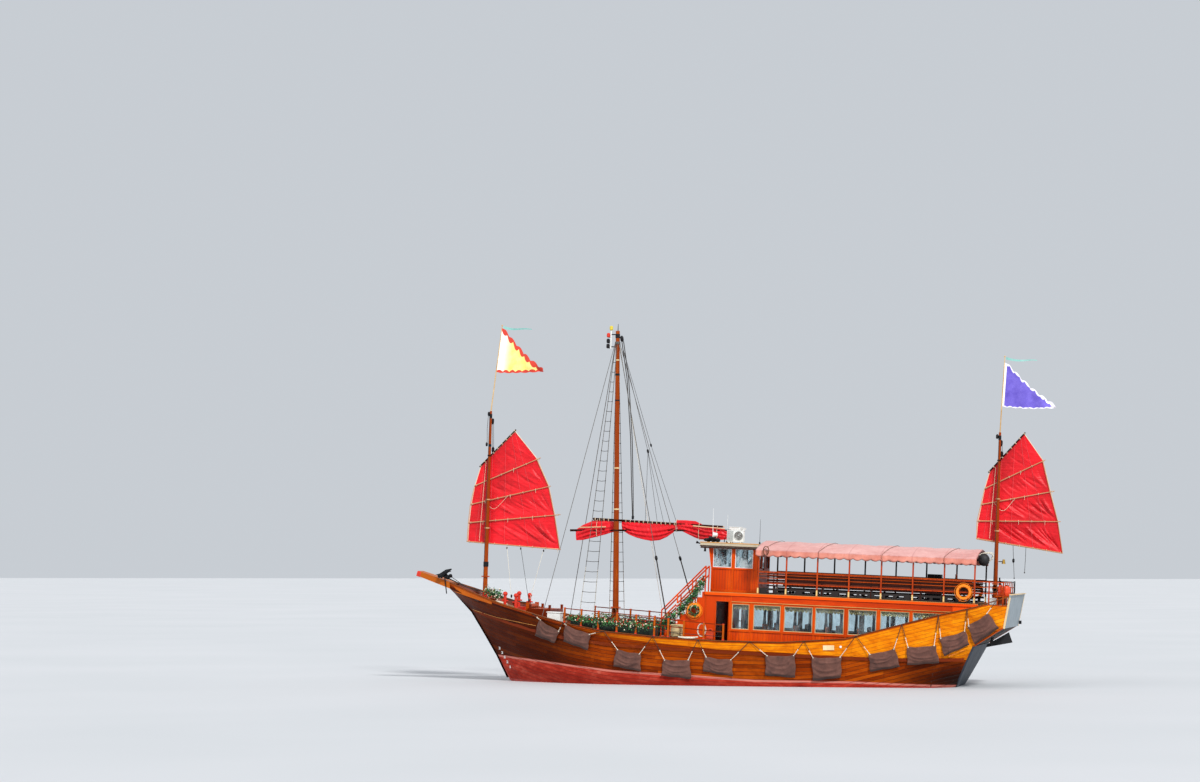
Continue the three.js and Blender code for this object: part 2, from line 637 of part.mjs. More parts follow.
// Mats that hang over the side as fenders, with the ropes that hold them.
const MATS = [
  // front top x, z, aft top x, z, aft bottom x, z, front bottom x, z
  [-8920, 2660, -7820, 2170, -8150, 1570, -9200, 1860],
  [-7540, 2490, -6210, 2120, -6380, 1330, -7640, 1670],
  [-4890, 1470, -3680, 1330, -3680, 480, -5060, 650],
  [-2560, 1110, -1300, 1180, -1200, 260, -2650, 340],
  [-560, 1360, 740, 1290, 790, 500, -650, 660],
  [2330, 1570, 3700, 1640, 3740, 590, 2330, 630],
  [4480, 1590, 5860, 1680, 5860, 720, 4560, 480],
  [7120, 1880, 8330, 2180, 8560, 1350, 7200, 1060],
  [8860, 2290, 10160, 2430, 10340, 1620, 8900, 1440],
  [10330, 2770, 11500, 3150, 11650, 2500, 10560, 1950],
  [11570, 3390, 12500, 4000, 12990, 3330, 11900, 2530],
];
const MAT_THICK = 45;
const MAT_CLEAR = 36;
const MAT_SHARES = [0, 0.5, 1];
const ROPE = 24;

function gallerySide(x, z) {
  if (x < GALLERY[0].x - 100) return 0;
  const [foot, top, footHalf, topHalf] = ['foot', 'top', 'footHalf', 'topHalf'].map((key) => at(GALLERY, x, key));
  return lerp(footHalf, topHalf, THREE.MathUtils.clamp((z - foot) / (top - foot), 0, 1));
}

function outside(x, z, out) {
  const over = z + WALE_HIGH / 2 + 10;
  return [x, -Math.max(sideAt(Math.min(x, 11800), over), gallerySide(x, over)) - WALE_OUT - out, z];
}

function ropeHead(x) {
  return [x, -at(SHEER, x, 'half') - CAP_OUT - ROPE * 0.83, at(SHEER, x, 'top') - CAP_THICK / 2];
}

function mats() {
  const line = [-9200, ...SHEER.map((row) => row.x).filter((x) => x > -9200 && x < 13000), 13000].map(ropeHead);
  const headRope = line.slice(1).map((end, i) => timber(line[i], end, ROPE));
  const pieces = MATS.flatMap(([ax, az, bx, bz, cx, cz, dx, dz]) => {
    const sheet = MAT_SHARES.map((across) => {
      const ring = (out) => MAT_SHARES.map((down) => outside(
        lerp(lerp(ax, bx, across), lerp(dx, cx, across), down),
        lerp(lerp(az, bz, across), lerp(dz, cz, across), down),
        out,
      ));
      return [...ring(MAT_CLEAR + MAT_THICK), ...ring(MAT_CLEAR).reverse()];
    });
    const ropes = [[ax, az, 200], [bx, bz, -200]].map(([x, z, lean]) => timber(
      ropeHead(x - lean), outside(x + lean / 4, z - 60, MAT_CLEAR + MAT_THICK / 2), ROPE,
    ));
    return [loft(sheet), ...ropes];
  });
  return join(...headRope, ...pieces);
}
const matsPort = mats();
add('fender_mats_port', matsPort, 'mat');
add('fender_mats_starboard', mirrored(matsPort), 'mat');

// Foredeck

function anchor() {
  const y = -555;
  const shank = pole([-14480, y - 10, 4700], [-14300, y, 3620], 32, 26, 8);
  const crown = [-14470, y - 10, 4640];
  const arms = [[-420, -40, -120], [330, 60, 90], [60, -360, 60], [-60, 330, 140]].map(([dx, dy, dz]) => pole(
    crown, [crown[0] + dx, crown[1] + dy, crown[2] + dz], 30, 14, 6,
  ));
  return cut(join(shank, ...arms), ...[[GAP, 0], [0, GAP], [0, -GAP]].map(([y, z]) => moved(platform, 0, -y, z)));
}
add('anchor', anchor(), 'black');

const BITTS = [[-11100, 1200, 3860], [-10550, 1200, 3800]];
function bitts() {
  const posts = BITTS.flatMap(([x, y, top]) => bothSides(join(
    pole([x, -y, 2800], [x, -y, top - 80], 75, 75, 8),
    new THREE.SphereGeometry(120, 8, 5).translate(x, -y, top - 90),
  )));
  const base = bothSides(block(-11260, -10390, -1350, -1050, 2780, 3130));
  const across = block(-10900, -10750, -1200, 1200, 2780, 3130);
  return cut(join(...posts, ...base, across), hullAbove);
}
add('bitts', bitts(), 'red');

function foreLocker() {
  const box = block(-9900, -8800, -1150, 1150, 2400, 3120);
  const posts = [-9840, -8860].flatMap((x) => [-1100, 1100].map((y) => timber([x, y, 2500], [x, y, 3330], 110)));
  return cut(join(box, ...posts), hullAbove);
}
add('fore_locker', foreLocker(), 'red');

// Masts

const MAST_SIDES = 12;

function mast(name, { foot, top, footRadius, topRadius }) {
  return add(name, cut(pole(foot, top, footRadius, topRadius, MAST_SIDES), hullAbove), 'mast');
}

function mastAt({ foot, top, footRadius, topRadius }, z) {
  const share = (z - foot[2]) / (top[2] - foot[2]);
  return { x: lerp(foot[0], top[0], share), radius: lerp(footRadius, topRadius, share) };
}

// A collar round a mast that turns on it, with its inner flats against the mast's corners.
const COLLAR_WALL = 26;

function collarBlank(spar, z, high) {
  const [low, up] = [mastAt(spar, z), mastAt(spar, z + high)];
  const radius = (low.radius + GAP) / Math.cos(Math.PI / MAST_SIDES) + COLLAR_WALL;
  return pole([low.x, 0, z], [up.x, 0, z + high], radius, radius, MAST_SIDES, Math.PI / MAST_SIDES);
}

function collarBore(spar, z, high) {
  const radius = (mastAt(spar, z).radius + GAP) / Math.cos(Math.PI / MAST_SIDES) + 0.2;
  const [under, over] = [mastAt(spar, z - high), mastAt(spar, z + high * 2)];
  return pole([under.x, 0, z - high], [over.x, 0, z + high * 2], radius, radius, MAST_SIDES, Math.PI / MAST_SIDES);
}

const collar = (spar, z, high) => cut(collarBlank(spar, z, high), collarBore(spar, z, high));

const foremast = mast('foremast', FOREMAST);
mast('mainmast', MAINMAST);
const mizzenmast = mast('mizzenmast', MIZZENMAST);

// Flags on their poles, each pole standing on its masthead.
function flag(name, spar, foot, top, hoist, fly, finish) {
  const staff = pole(foot, top, 28, 20, 8);
  const [upper, lower] = hoist;
  const cloth = plateY([upper, lower, fly], -8, 8);
  add(name, cut(join(staff, cloth), moved(spar, 0, 0, GAP)), finish);
}
flag(
  'fore_flag', foremast, [-12610, 0, 12690], [-12230, 0, 16930],
  [[-12240, 16850], [-12440, 14640]], [-10050, 14760], 'yellow',
);
flag(
  'mizzen_flag', mizzenmast, [12400, 0, 12390], [12510, 0, 15960],
  [[12520, 15700], [12440, 13640]], [14960, 13640], 'violet',
);

// Lugsails. Their battens lie against the mast's starboard side, and the cloth lies outside them.
const BATTEN_Y = 165;
const CLOTH_Y = [196.8, 216.8];

const FORE_SAIL = {
  outline: [[-11380, 11740], [-13060, 9980], [-13340, 8960], [-13480, 8050], [-13550, 7130], [-13570, 6210],
    [-12500, 6170], [-8830, 6030], [-9170, 7700], [-9540, 9130], [-10220, 10460]],
  yard: [[-13120, 9930], [-11330, 11830]],
  battens: [[[-13340, 8980], [-10000, 10480]], [[-13520, 8050], [-9420, 9110]], [[-13580, 7150], [-8870, 7730]],
    [[-13620, 6230], [-8780, 6020]]],
  luff: [[-13340, 8980], [-13520, 8050], [-13580, 7150], [-13600, 6230]],
  leech: [[-10220, 10440], [-9540, 9100], [-9170, 7690], [-8830, 6030]],
  collars: [6900, 8300],
  yardCollar: 10250,
};
const MIZZEN_SAIL = {
  outline: [[13510, 12380], [11960, 10550], [11740, 9710], [11620, 8960], [11480, 8170], [11440, 7370],
    [12450, 7240], [15460, 6860], [15200, 8330], [14800, 9750], [14410, 11170]],
  yard: [[11900, 10500], [13560, 12440]],
  battens: [[[11740, 9740], [14540, 11190]], [[11600, 8990], [15000, 9740]], [[11440, 8210], [15330, 8330]],
    [[11430, 7390], [15480, 6870]]],
  luff: [[11740, 9740], [11600, 8990], [11440, 8210], [11450, 7380]],
  leech: [[14410, 11120], [14800, 9700], [15200, 8330], [15460, 6880]],
  collars: [7750, 9250],
  yardCollar: 10950,
};

function lugsail(prefix, spar, plan) {
  const flat = ([x, z]) => [x, BATTEN_Y, z];
  add(`${prefix}_sail`, plateY(plan.outline, CLOTH_Y[0], CLOTH_Y[1]), 'sailcloth');
  const tie = (z) => {
    const here = mastAt(spar, z + 30);
    return block(here.x - 30, here.x + 30, here.radius + 8, BATTEN_Y + 10, z, z + 60);
  };
  const yard = pole(flat(plan.yard[0]), flat(plan.yard[1]), 38, 32, 6);
  const share = (x) => (x - plan.yard[0][0]) / (plan.yard[1][0] - plan.yard[0][0]);
  const yardZ = lerp(plan.yard[0][1], plan.yard[1][1], share(mastAt(spar, plan.yardCollar).x));
  add(`${prefix}_yard`, join(yard, collar(spar, yardZ - 30, 60), tie(yardZ - 30)), 'bamboo');
  const rope = (points) => points.slice(1).map((end, i) => timber(flat(points[i]), flat(end), 24));
  const sticks = plan.battens.map(([from, to]) => pole(flat(from), flat(to), 26, 20, 6));
  const parrels = plan.collars.flatMap((z) => {
    const riser = mastAt(spar, z).x;
    const post = block(riser - 25, riser + 25, BATTEN_Y - 15, BATTEN_Y + 15, z - 700, z + 60);
    return [collar(spar, z, 60), tie(z), post];
  });
  add(`${prefix}_battens`, join(...sticks, ...rope(plan.luff), ...rope(plan.leech), ...parrels), 'bamboo');
}
lugsail('fore', FOREMAST, FORE_SAIL);
lugsail('mizzen', MIZZENMAST, MIZZEN_SAIL);

// Mainsail, furled between its boom and its yard, which hang on the mast's collars.
const MAIN_Y = 300;
const BOOM = { front: [-8380, MAIN_Y, 6985], aft: [-350, MAIN_Y, 7300], radius: 55, endRadius: 42 };
const MAIN_YARD = { front: [-7240, MAIN_Y, 7591], aft: [-760, MAIN_Y, 7460], radius: 58, endRadius: 46 };
const MAIN_COLLARS = [7048, 7536];

function mainBoom() {
  const boom = pole(BOOM.front, BOOM.aft, BOOM.radius, BOOM.endRadius, 10);
  const yard = pole(MAIN_YARD.front, MAIN_YARD.aft, MAIN_YARD.radius, MAIN_YARD.endRadius, 10);
  const carriers = MAIN_COLLARS.flatMap((z) => {
    const here = mastAt(MAINMAST, z + 30);
    return [collar(MAINMAST, z, 60), block(here.x - 35, here.x + 35, here.radius + 8, MAIN_Y, z, z + 60)];
  });
  const middle = mastAt(MAINMAST, (MAIN_COLLARS[0] + MAIN_COLLARS[1]) / 2).x;
  const post = block(middle - 35, middle + 35, MAIN_Y - 45, MAIN_Y + 20, MAIN_COLLARS[0], MAIN_COLLARS[1] + 60);
  return join(boom, yard, post, ...carriers);
}
add('main_boom', mainBoom(), 'bamboo');

const FURLED = [
  [-8110, 7040], [-8040, 6510], [-7700, 6540], [-7140, 6690], [-6570, 6860], [-6110, 7000], [-5740, 7030],
  [-5410, 6890], [-5060, 6765], [-4650, 6670], [-4250, 6620], [-3850, 6680], [-3520, 6830], [-3210, 7070],
  [-3020, 7180], [-2730, 7120], [-2440, 7010], [-2090, 6850], [-1830, 6790], [-900, 6800], [-440, 6840],
  [-420, 7220], [-750, 7400], [-1660, 7490], [-2120, 7690], [-3090, 7700], [-3250, 7480], [-6000, 7530],
  [-7180, 7545], [-7750, 7280],
];
const FURLED_HALF = 110;

function furledSail() {
  const cloth = plateY(FURLED.toReversed(), MAIN_Y - FURLED_HALF, MAIN_Y + FURLED_HALF);
  const room = (spar) => pole(spar.front, spar.aft, spar.radius + GAP * 2, spar.endRadius + GAP * 2, 10);
  const round = pole([-5990, 0, 6000], [-6010, 0, 8000], 215, 215, 16);
  const slot = block(-6080, -5900, 0, MAIN_Y + 40, 6900, 7700);
  return cut(cloth, room(BOOM), room(MAIN_YARD), round, slot);
}
add('main_sail', furledSail(), 'sailcloth');

// Shrouds and stays, all on one band at the masthead.
const HOUNDS = 16150;

function standingRigging() {
  const from = mastAt(MAINMAST, HOUNDS + 60);
  const feet = [-6900, -6140, -8800, -2300].map((x) => [x, 20 - at(SHEER, x, 'half'), at(SHEER, x, 'top') + 15]);
  const starts = [[-70, -95], [10, -118], [-112, -38], [80, -86]];
  const legs = feet.map((end, i) => timber([from.x + starts[i][0], starts[i][1], HOUNDS + 60], end, 24));
  const whole = join(collarBlank(MAINMAST, HOUNDS, 120), ...legs.flatMap(bothSides));
  return cut(whole, collarBore(MAINMAST, HOUNDS, 120));
}
add('standing_rigging', standingRigging(), 'rope');

// Under the stern

const PROPELLER = { front: SHAFT.end + GAP, aft: 9700, hub: 80, radius: 420, blades: 4, pitch: 0.6 };

function propeller() {
  const { front, aft, hub, radius, blades, pitch } = PROPELLER;
  const middle = (front + aft) / 2;
  const bladeShape = new THREE.Shape();
  bladeShape.moveTo(-60, 0);
  bladeShape.quadraticCurveTo(-190, radius * 0.7, -30, radius);
  bladeShape.lineTo(60, radius);
  bladeShape.quadraticCurveTo(190, radius * 0.6, 60, 0);
  const shapes = [...Array(blades).keys()].map((i) => {
    const blade = new THREE.ExtrudeGeometry(bladeShape, { depth: 22, bevelEnabled: false, curveSegments: 5 });
    blade.translate(0, 0, -11).rotateY(-pitch).rotateX(Math.PI / 2);
    return blade.rotateX((i * Math.PI * 2) / blades).translate(middle, 0, SHAFT.z);
  });
  return join(pole([front, 0, SHAFT.z], [aft, 0, SHAFT.z], hub, hub * 0.7, 16), ...shapes);
}
add('propeller', propeller(), 'bronze');

function rudder() {
  const outline = [[9990, -660], [10350, -540], [10950, -360], [10850, -1790], [9990, -1830]];
  const blade = plateY(outline, -45, 45);
  const foot = [RUDDER.stock, 0, KEEL.shoeTop + GAP];
  return join(blade, pole(foot, [RUDDER.stock, 0, RUDDER.top], RUDDER.radius, RUDDER.radius, 16));
}
add('rudder', rudder(), 'black');

function sternRudder() {
  const blade = plateY([[12090, 2330], [13300, 2610], [13120, 3080], [12440, 2660], [12120, 2460]], -50, 50);
  const [low, high] = [2420, 3200];
  const stock = pole([TRUNK.x(low), 0, low], [TRUNK.x(high), 0, high], 62, 62, 16);
  return join(blade, stock);
}
add('stern_rudder', sternRudder(), 'black');

export default boat;
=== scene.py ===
"""Looks of a Chinese harbour junk. Metres; bow towards -X, port towards -Y, up +Z, water at z = 0.

Pieces are drawn in the boat's own level frame and then turned by the trim that it floats at.
"""
import math
import random

import bpy
from mathutils import Euler, Matrix, Vector
from mathutils.bvhtree import BVHTree


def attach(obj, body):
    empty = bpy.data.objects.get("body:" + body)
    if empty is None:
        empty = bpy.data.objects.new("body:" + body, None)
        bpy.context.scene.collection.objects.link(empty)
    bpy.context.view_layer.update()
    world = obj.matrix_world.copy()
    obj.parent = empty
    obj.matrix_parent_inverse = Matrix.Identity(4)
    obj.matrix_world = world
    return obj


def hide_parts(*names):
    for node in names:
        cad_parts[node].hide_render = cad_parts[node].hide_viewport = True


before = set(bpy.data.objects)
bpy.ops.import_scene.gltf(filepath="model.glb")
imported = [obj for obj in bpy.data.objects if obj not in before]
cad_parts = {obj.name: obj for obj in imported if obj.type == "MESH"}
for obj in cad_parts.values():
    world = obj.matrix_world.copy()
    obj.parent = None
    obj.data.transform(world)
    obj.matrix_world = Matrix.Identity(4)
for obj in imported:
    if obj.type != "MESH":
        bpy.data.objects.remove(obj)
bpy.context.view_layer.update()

# The photograph's camera

CAMERA_AT = (25.485, -122.72, 5.4)
CAMERA_YAW = 14.6
CAMERA_PITCH = 3.94
FOCAL_PX = 2600
PHOTO_WIDTH = 1200
SENSOR_MM = 36


def make_camera():
    data = bpy.data.cameras.new("camera")
    data.sensor_width = SENSOR_MM
    data.lens = FOCAL_PX / PHOTO_WIDTH * SENSOR_MM
    data.clip_end = 3000
    camera = bpy.data.objects.new("camera", data)
    camera.location = CAMERA_AT
    camera.rotation_euler = Euler((math.radians(90 + CAMERA_PITCH), 0, math.radians(CAMERA_YAW)))
    bpy.context.scene.collection.objects.link(camera)
    bpy.context.scene.camera = camera


make_camera()

# The boat's own frame

TRIM = math.radians(2.5)
TO_FRAME = Matrix.Rotation(TRIM, 4, "Y")
FROM_FRAME = TO_FRAME.inverted()


def lerp(a, b, t):
    return a + (b - a) * t


def mix_points(a, b, t):
    return tuple(lerp(p, q, t) for p, q in zip(a, b))


def between(table, x):
    """Value at x in a table of (x, value), straight between its rows and past its ends."""
    for a, b in zip(table, table[1:]):
        if x <= b[0] or b is table[-1]:
            return lerp(a[1], b[1], (x - a[0]) / (b[0] - a[0]))


# Mesh making


class Shape:
    """Collects boxes, tubes and grids in the level frame, and makes one mesh object of them."""

    def __init__(self):
        self.points = []
        self.faces = []
        self.slots = []
        self.shades = []

    def add(self, points, faces, slot=0, shade=0.5):
        start = len(self.points)
        self.points += [tuple(p) for p in points]
        self.faces += [tuple(start + i for i in face) for face in faces]
        self.slots += [slot] * len(faces)
        self.shades += [shade] * len(faces)

    def box(self, x0, x1, y0, y1, z0, z1, slot=0, shade=0.5):
        points = [(x, y, z) for x in (x0, x1) for y in (y0, y1) for z in (z0, z1)]
        faces = [(0, 1, 3, 2), (4, 6, 7, 5), (0, 4, 5, 1), (2, 3, 7, 6), (0, 2, 6, 4), (1, 5, 7, 3)]
        self.add(points, faces, slot, shade)

    def bar(self, a, b, width, height, slot=0):
        """A straight timber of that section from a to b, its height as near upright as it can be."""
        a, b = Vector(a), Vector(b)
        along = (b - a).normalized()
        up = Vector((0, 0, 1)) if abs(along.z) < 0.95 else Vector((1, 0, 0))
        side = along.cross(up).normalized() * width / 2
        top = side.cross(along).normalized() * height / 2
        ring = (-side - top, side - top, side + top, -side + top)
        points = [a + c for c in ring] + [b + c for c in ring]
        faces = [(3, 2, 1, 0), (4, 5, 6, 7)] + [(i, (i + 1) % 4, (i + 1) % 4 + 4, i + 4) for i in range(4)]
        self.add(points, faces, slot)

    def tube(self, path, radius, sides=8, slot=0, closed=False):
        """A round tube along the path. The radius is one number or one for each point."""
        path = [Vector(p) for p in path]
        count = len(path)
        radii = radius if isinstance(radius, (list, tuple)) else [radius] * count
        points = []
        across = None
        for i, p in enumerate(path):
            after = path[(i + 1) % count] if closed or i + 1 < count else p
            before = path[i - 1] if closed or i else p
            along = (after - before).normalized()
            if across is None:
                across = along.orthogonal()
            across = (across - along * across.dot(along)).normalized()
            other = along.cross(across)
            for k in range(sides):
                turn = 2 * math.pi * k / sides
                points.append(p + (across * math.cos(turn) + other * math.sin(turn)) * radii[i])
        faces = []
        for i in range(count if closed else count - 1):
            for k in range(sides):
                a, b = i * sides + k, i * sides + (k + 1) % sides
                c, d = ((i + 1) % count) * sides + (k + 1) % sides, ((i + 1) % count) * sides + k
                faces.append((a, b, c, d))
        if not closed:
            faces.append(tuple(reversed(range(sides))))
            faces.append(tuple(range((count - 1) * sides, count * sides)))
        self.add(points, faces, slot)

    def grid(self, rows, slot=0, shade=0.5, flip=False):
        """An open sheet through rows of points."""
        wide = len(rows[0])
        faces = []
        for r in range(len(rows) - 1):
            for i in range(wide - 1):
                quad = (r * wide + i, r * wide + i + 1, (r + 1) * wide + i + 1, (r + 1) * wide + i)
                faces.append(tuple(reversed(quad)) if flip else quad)
        self.add([p for row in rows for p in row], faces, slot, shade)

    def turned(self, x, y, profile, sides=12, slot=0):
        """A round upright piece; its profile is (height, radius), from one end to the other."""
        self.tube([(x, y, z) for z, _ in profile], [radius for _, radius in profile], sides, slot)

    def lidded(self, x0, x1, y0, y1, foot, top, over, thick, slot=0, lid_slot=0):
        """A box with a lid that stands out over its sides."""
        self.box(x0, x1, y0, y1, foot, top, slot)
        self.box(x0 - over, x1 + over, y0 - over, y1 + over, top, top + thick, lid_slot)

    def loft(self, rings, slot=0):
        """A closed skin through rings of points."""
        wide = len(rings[0])
        faces = []
        for r in range(len(rings) - 1):
            for i in range(wide):
                j = (i + 1) % wide
                faces.append((r * wide + i, r * wide + j, (r + 1) * wide + j, (r + 1) * wide + i))
        faces.append(tuple(reversed(range(wide))))
        faces.append(tuple(range((len(rings) - 1) * wide, len(rings) * wide)))
        self.add([p for ring in rings for p in ring], faces, slot)

    def ball(self, centre, radius, slot=0, rings=8, sides=12):
        centre = Vector(centre)
        size = radius if isinstance(radius, (list, tuple)) else (radius,) * 3
        rows = []
        for r in range(1, rings):
            tilt = math.pi * r / rings
            rows.append([centre + Vector((
                math.sin(tilt) * math.cos(2 * math.pi * k / sides) * size[0],
                math.sin(tilt) * math.sin(2 * math.pi * k / sides) * size[1],
                math.cos(tilt) * size[2],
            )) for k in range(sides)])
        top, bottom = centre + Vector((0, 0, size[2])), centre - Vector((0, 0, size[2]))
        points = [p for row in rows for p in row] + [top, bottom]
        faces = []
        for r in range(len(rows) - 1):
            for k in range(sides):
                j = (k + 1) % sides
                faces.append((r * sides + k, (r + 1) * sides + k, (r + 1) * sides + j, r * sides + j))
        last = (len(rows) - 1) * sides
        for k in range(sides):
            j = (k + 1) % sides
            faces.append((len(points) - 2, k, j))
            faces.append((len(points) - 1, last + j, last + k))
        self.add(points, faces, slot)

    def make(self, name, finishes, body="boat", smooth=True, bevel=0.0, both=False, marks=None):
        """One object of all that was collected. both adds the mirror image on the other side, and marks
        are values at each point that the finishes use."""
        points, faces = list(self.points), list(self.faces)
        slots, shades = list(self.slots), list(self.shades)
        if both:
            start = len(points)
            points += [(x, -y, z) for x, y, z in self.points]
            faces += [tuple(start + i for i in reversed(face)) for face in self.faces]
            slots += self.slots
            shades += self.shades
        mesh = bpy.data.meshes.new(name)
        mesh.from_pydata([tuple(p) for p in points], [], faces)
        for finish in finishes:
            mesh.materials.append(finish)
        mesh.polygons.foreach_set("material_index", slots)
        shade = mesh.attributes.new("shade", "FLOAT", "FACE")
        shade.data.foreach_set("value", shades)
        for mark, value in (marks or {}).items():
            data = mesh.attributes.new(mark, "FLOAT", "POINT").data
            data.foreach_set("value", [value(*p) for p in points])
        mesh.transform(TO_FRAME)
        mesh.polygons.foreach_set("use_smooth", [smooth] * len(faces))
        mesh.validate()
        mesh.update()
        obj = bpy.data.objects.new(name, mesh)
        bpy.context.scene.collection.objects.link(obj)
        if smooth:
            mesh.set_sharp_from_angle(angle=math.radians(38))
        if bevel:
            edge = obj.modifiers.new("edge", "BEVEL")
            edge.width = bevel
            edge.segments = 2
            edge.limit_method = "ANGLE"
            edge.angle_limit = math.radians(40)
        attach(obj, body)
        return obj


# Finishes


def linear(hex_colour):
    """Linear values of a colour that is written as #rrggbb."""
    parts = [int(hex_colour[i:i + 2], 16) / 255 for i in (1, 3, 5)]
    return tuple(c / 12.92 if c <= 0.04045 else ((c + 0.055) / 1.055) ** 2.4 for c in parts) + (1,)


COAT_ROUGHNESS = 0.25


class Finish:
    """A material whose nodes are added one by one, in the boat's level coordinates."""

    def __init__(self, name, roughness=0.5, metallic=0.0, coat=0.0, sheen=0.0, specular=0.5):
        self.material = bpy.data.materials.new(name)
        self.material.use_nodes = True
        self.nodes = self.material.node_tree.nodes
        self.links = self.material.node_tree.links
        self.shader = self.nodes["Principled BSDF"]
        for socket, value in (
            ("Roughness", roughness), ("Metallic", metallic), ("Coat Weight", coat),
            ("Coat Roughness", COAT_ROUGHNESS), ("Sheen Weight", sheen), ("Specular IOR Level", specular),
        ):
            self.shader.inputs[socket].default_value = value
        place = self.node("TexCoord", "Object", {})
        self.place = self.node("Mapping", "Vector", {"Vector": place, "Rotation": (0, -TRIM, 0)})

    def node(self, kind, output, inputs, **settings):
        """One more node. Its inputs are values, colours, or outputs of the nodes before it."""
        node = self.nodes.new(f"ShaderNode{kind}")
        for name, value in settings.items():
            setattr(node, name, value)
        for key, value in inputs.items():
            if isinstance(value, bpy.types.NodeSocket):
                self.links.new(value, node.inputs[key])
            else:
                node.inputs[key].default_value = linear(value) if isinstance(value, str) else value
        return node.outputs[output]

    def scaled(self, scale, rotation=(0, 0, 0)):
        return self.node("Mapping", "Vector", {"Vector": self.place, "Scale": scale, "Rotation": rotation})

    def noise(self, scale, detail=4.0, roughness=0.55, stretch=(1, 1, 1), distortion=0.0, rotation=(0, 0, 0)):
        return self.node("TexNoise", "Fac", {
            "Vector": self.scaled(stretch, rotation), "Scale": scale, "Detail": detail,
            "Roughness": roughness, "Distortion": distortion,
        })

    def waves(self, scale, axis, distortion=0.0):
        inputs = {"Vector": self.scaled((1, 1, 1)), "Scale": scale, "Distortion": distortion}
        return self.node("TexWave", "Fac", inputs, bands_direction=axis)

    def weave(self, threads, axes="XZ"):
        """Threads that cross along two axes."""
        return self.times(*[self.waves(threads, axis) for axis in axes])

    def axis(self, name):
        return self.node("SeparateXYZ", name, {"Vector": self.place})

    def mark(self, name):
        return self.node("Attribute", "Fac", {}, attribute_name=name)

    def maths(self, operation, *values):
        return self.node("Math", "Value", dict(enumerate(values)), operation=operation)

    def times(self, a, b):
        return self.maths("MULTIPLY", a, b)

    def less(self, a, b):
        return self.maths("SUBTRACT", a, b)

    def blend(self, a, b, share):
        """That share of a, and the rest of b."""
        return self.maths("MULTIPLY_ADD", a, share, self.times(b, 1 - share))

    def shaded(self, value, share):
        """The value, moved up or down by each face's own shade."""
        return self.maths("ADD", value, self.times(self.less(self.mark("shade"), 0.5), share))

    def ramp(self, value, stops):
        """Colours over a value from 0 to 1."""
        output = self.node("ValToRGB", "Color", {"Fac": value})
        elements = output.node.color_ramp.elements
        while len(elements) < len(stops):
            elements.new(0.5)
        for element, (position, colour) in zip(elements, stops):
            element.position = position
            element.color = linear(colour)
        return output

    def steps(self, value, low, high):
        """0 below low, 1 above high, and a soft step between."""
        inputs = {"Value": value, "From Min": low, "From Max": high}
        return self.node("MapRange", "Result", inputs, interpolation_type="SMOOTHSTEP")

    def seam(self, axis, width, low, high):
        """1 at the joints of boards of that width, side by side along the axis."""
        across = self.maths("FRACT", self.maths("DIVIDE", self.axis(axis), width))
        return self.steps(self.maths("ABSOLUTE", self.less(across, 0.5)), low, high)

    def mix(self, factor, a, b):
        return self.node("Mix", 2, {0: factor, 6: a, 7: b}, data_type="RGBA")

    def tint(self, colour, where, share, over):
        """The colour, with another one over that share of it where the value is 1."""
        return self.mix(self.times(where, share), colour, over)

    def colour(self, socket):
        self.links.new(socket, self.shader.inputs["Base Color"])

    def rough(self, value, low, high):
        socket = self.node("MapRange", "Result", {"Value": value, "To Min": low, "To Max": high})
        self.links.new(socket, self.shader.inputs["Roughness"])

    def bump(self, height, distance, strength=1.0):
        """Relief over the relief that is already there."""
        normal = self.shader.inputs["Normal"]
        inputs = {"Height": height, "Distance": distance, "Strength": strength}
        if normal.links:
            inputs["Normal"] = normal.links[0].from_socket
        self.links.new(self.node("Bump", "Normal", inputs), normal)


def circle(centre, a, b, count):
    """Points of a round or oval loop; a and b lead from its centre to its two ends."""
    turns = [2 * math.pi * k / count for k in range(count)]
    return [Vector(centre) + Vector(a) * math.cos(turn) + Vector(b) * math.sin(turn) for turn in turns]


def smooth_path(points, steps=6):
    """Points of one smooth curve through the given ones."""
    points = [Vector(p) for p in points]
    ends = [points[0] * 2 - points[1]] + points + [points[-1] * 2 - points[-2]]
    path = []
    for a, b, c, d in zip(ends, ends[1:], ends[2:], ends[3:]):
        for i in range(steps):
            t = i / steps
            bend = (2 * a - 5 * b + 4 * c - d) * t ** 2 + (3 * b - a - 3 * c + d) * t ** 3
            path.append((2 * b + (c - a) * t + bend) / 2)
    return path + [points[-1]]


COIL_STEPS = 18


def flat_coil(x, y, radius, turns, thick):
    """A coil on deck: its turns lie beside each other, half of them on the other half."""
    points = []
    for i in range(turns * COIL_STEPS + 1):
        lay = i / COIL_STEPS
        reach = radius - 1.2 * thick * min(lay, turns - lay)
        rise = 1.15 * thick * math.sin(math.pi * min(max(lay - turns / 2, 0), 0.5))
        turn = 2 * math.pi * lay
        place = Vector((x + reach * math.cos(turn), y + reach * math.sin(turn), 6))
        deck = DECKS.ray_cast(place, Vector((0, 0, -1)))[0].z
        points.append(Vector((place.x, place.y, deck + thick / 2 + 0.012 + rise)))
    return points


def hung_coil(centre, radius, turns, thick, first=0.25, out=-1):
    """A coil that hangs upright on a pin: its turns follow each other to port, or inboard where out is 1.
    first is where the rope starts, as a share of a turn from aft."""
    points = []
    for i in range(turns * COIL_STEPS + 1):
        lay = i / COIL_STEPS
        turn = 2 * math.pi * (lay + first)
        aside = Vector((0.62 * radius * math.cos(turn), out * 1.15 * thick * lay, radius * math.sin(turn)))
        points.append(Vector(centre) + aside)
    return points


def free_rope(name, path, thick, finish, body="boat"):
    """A free rope along its path."""
    shape = Shape()
    shape.tube(path, thick / 2)
    obj = shape.make(name, [finish], body)
    points = [TO_FRAME @ Vector(p) for p in path]


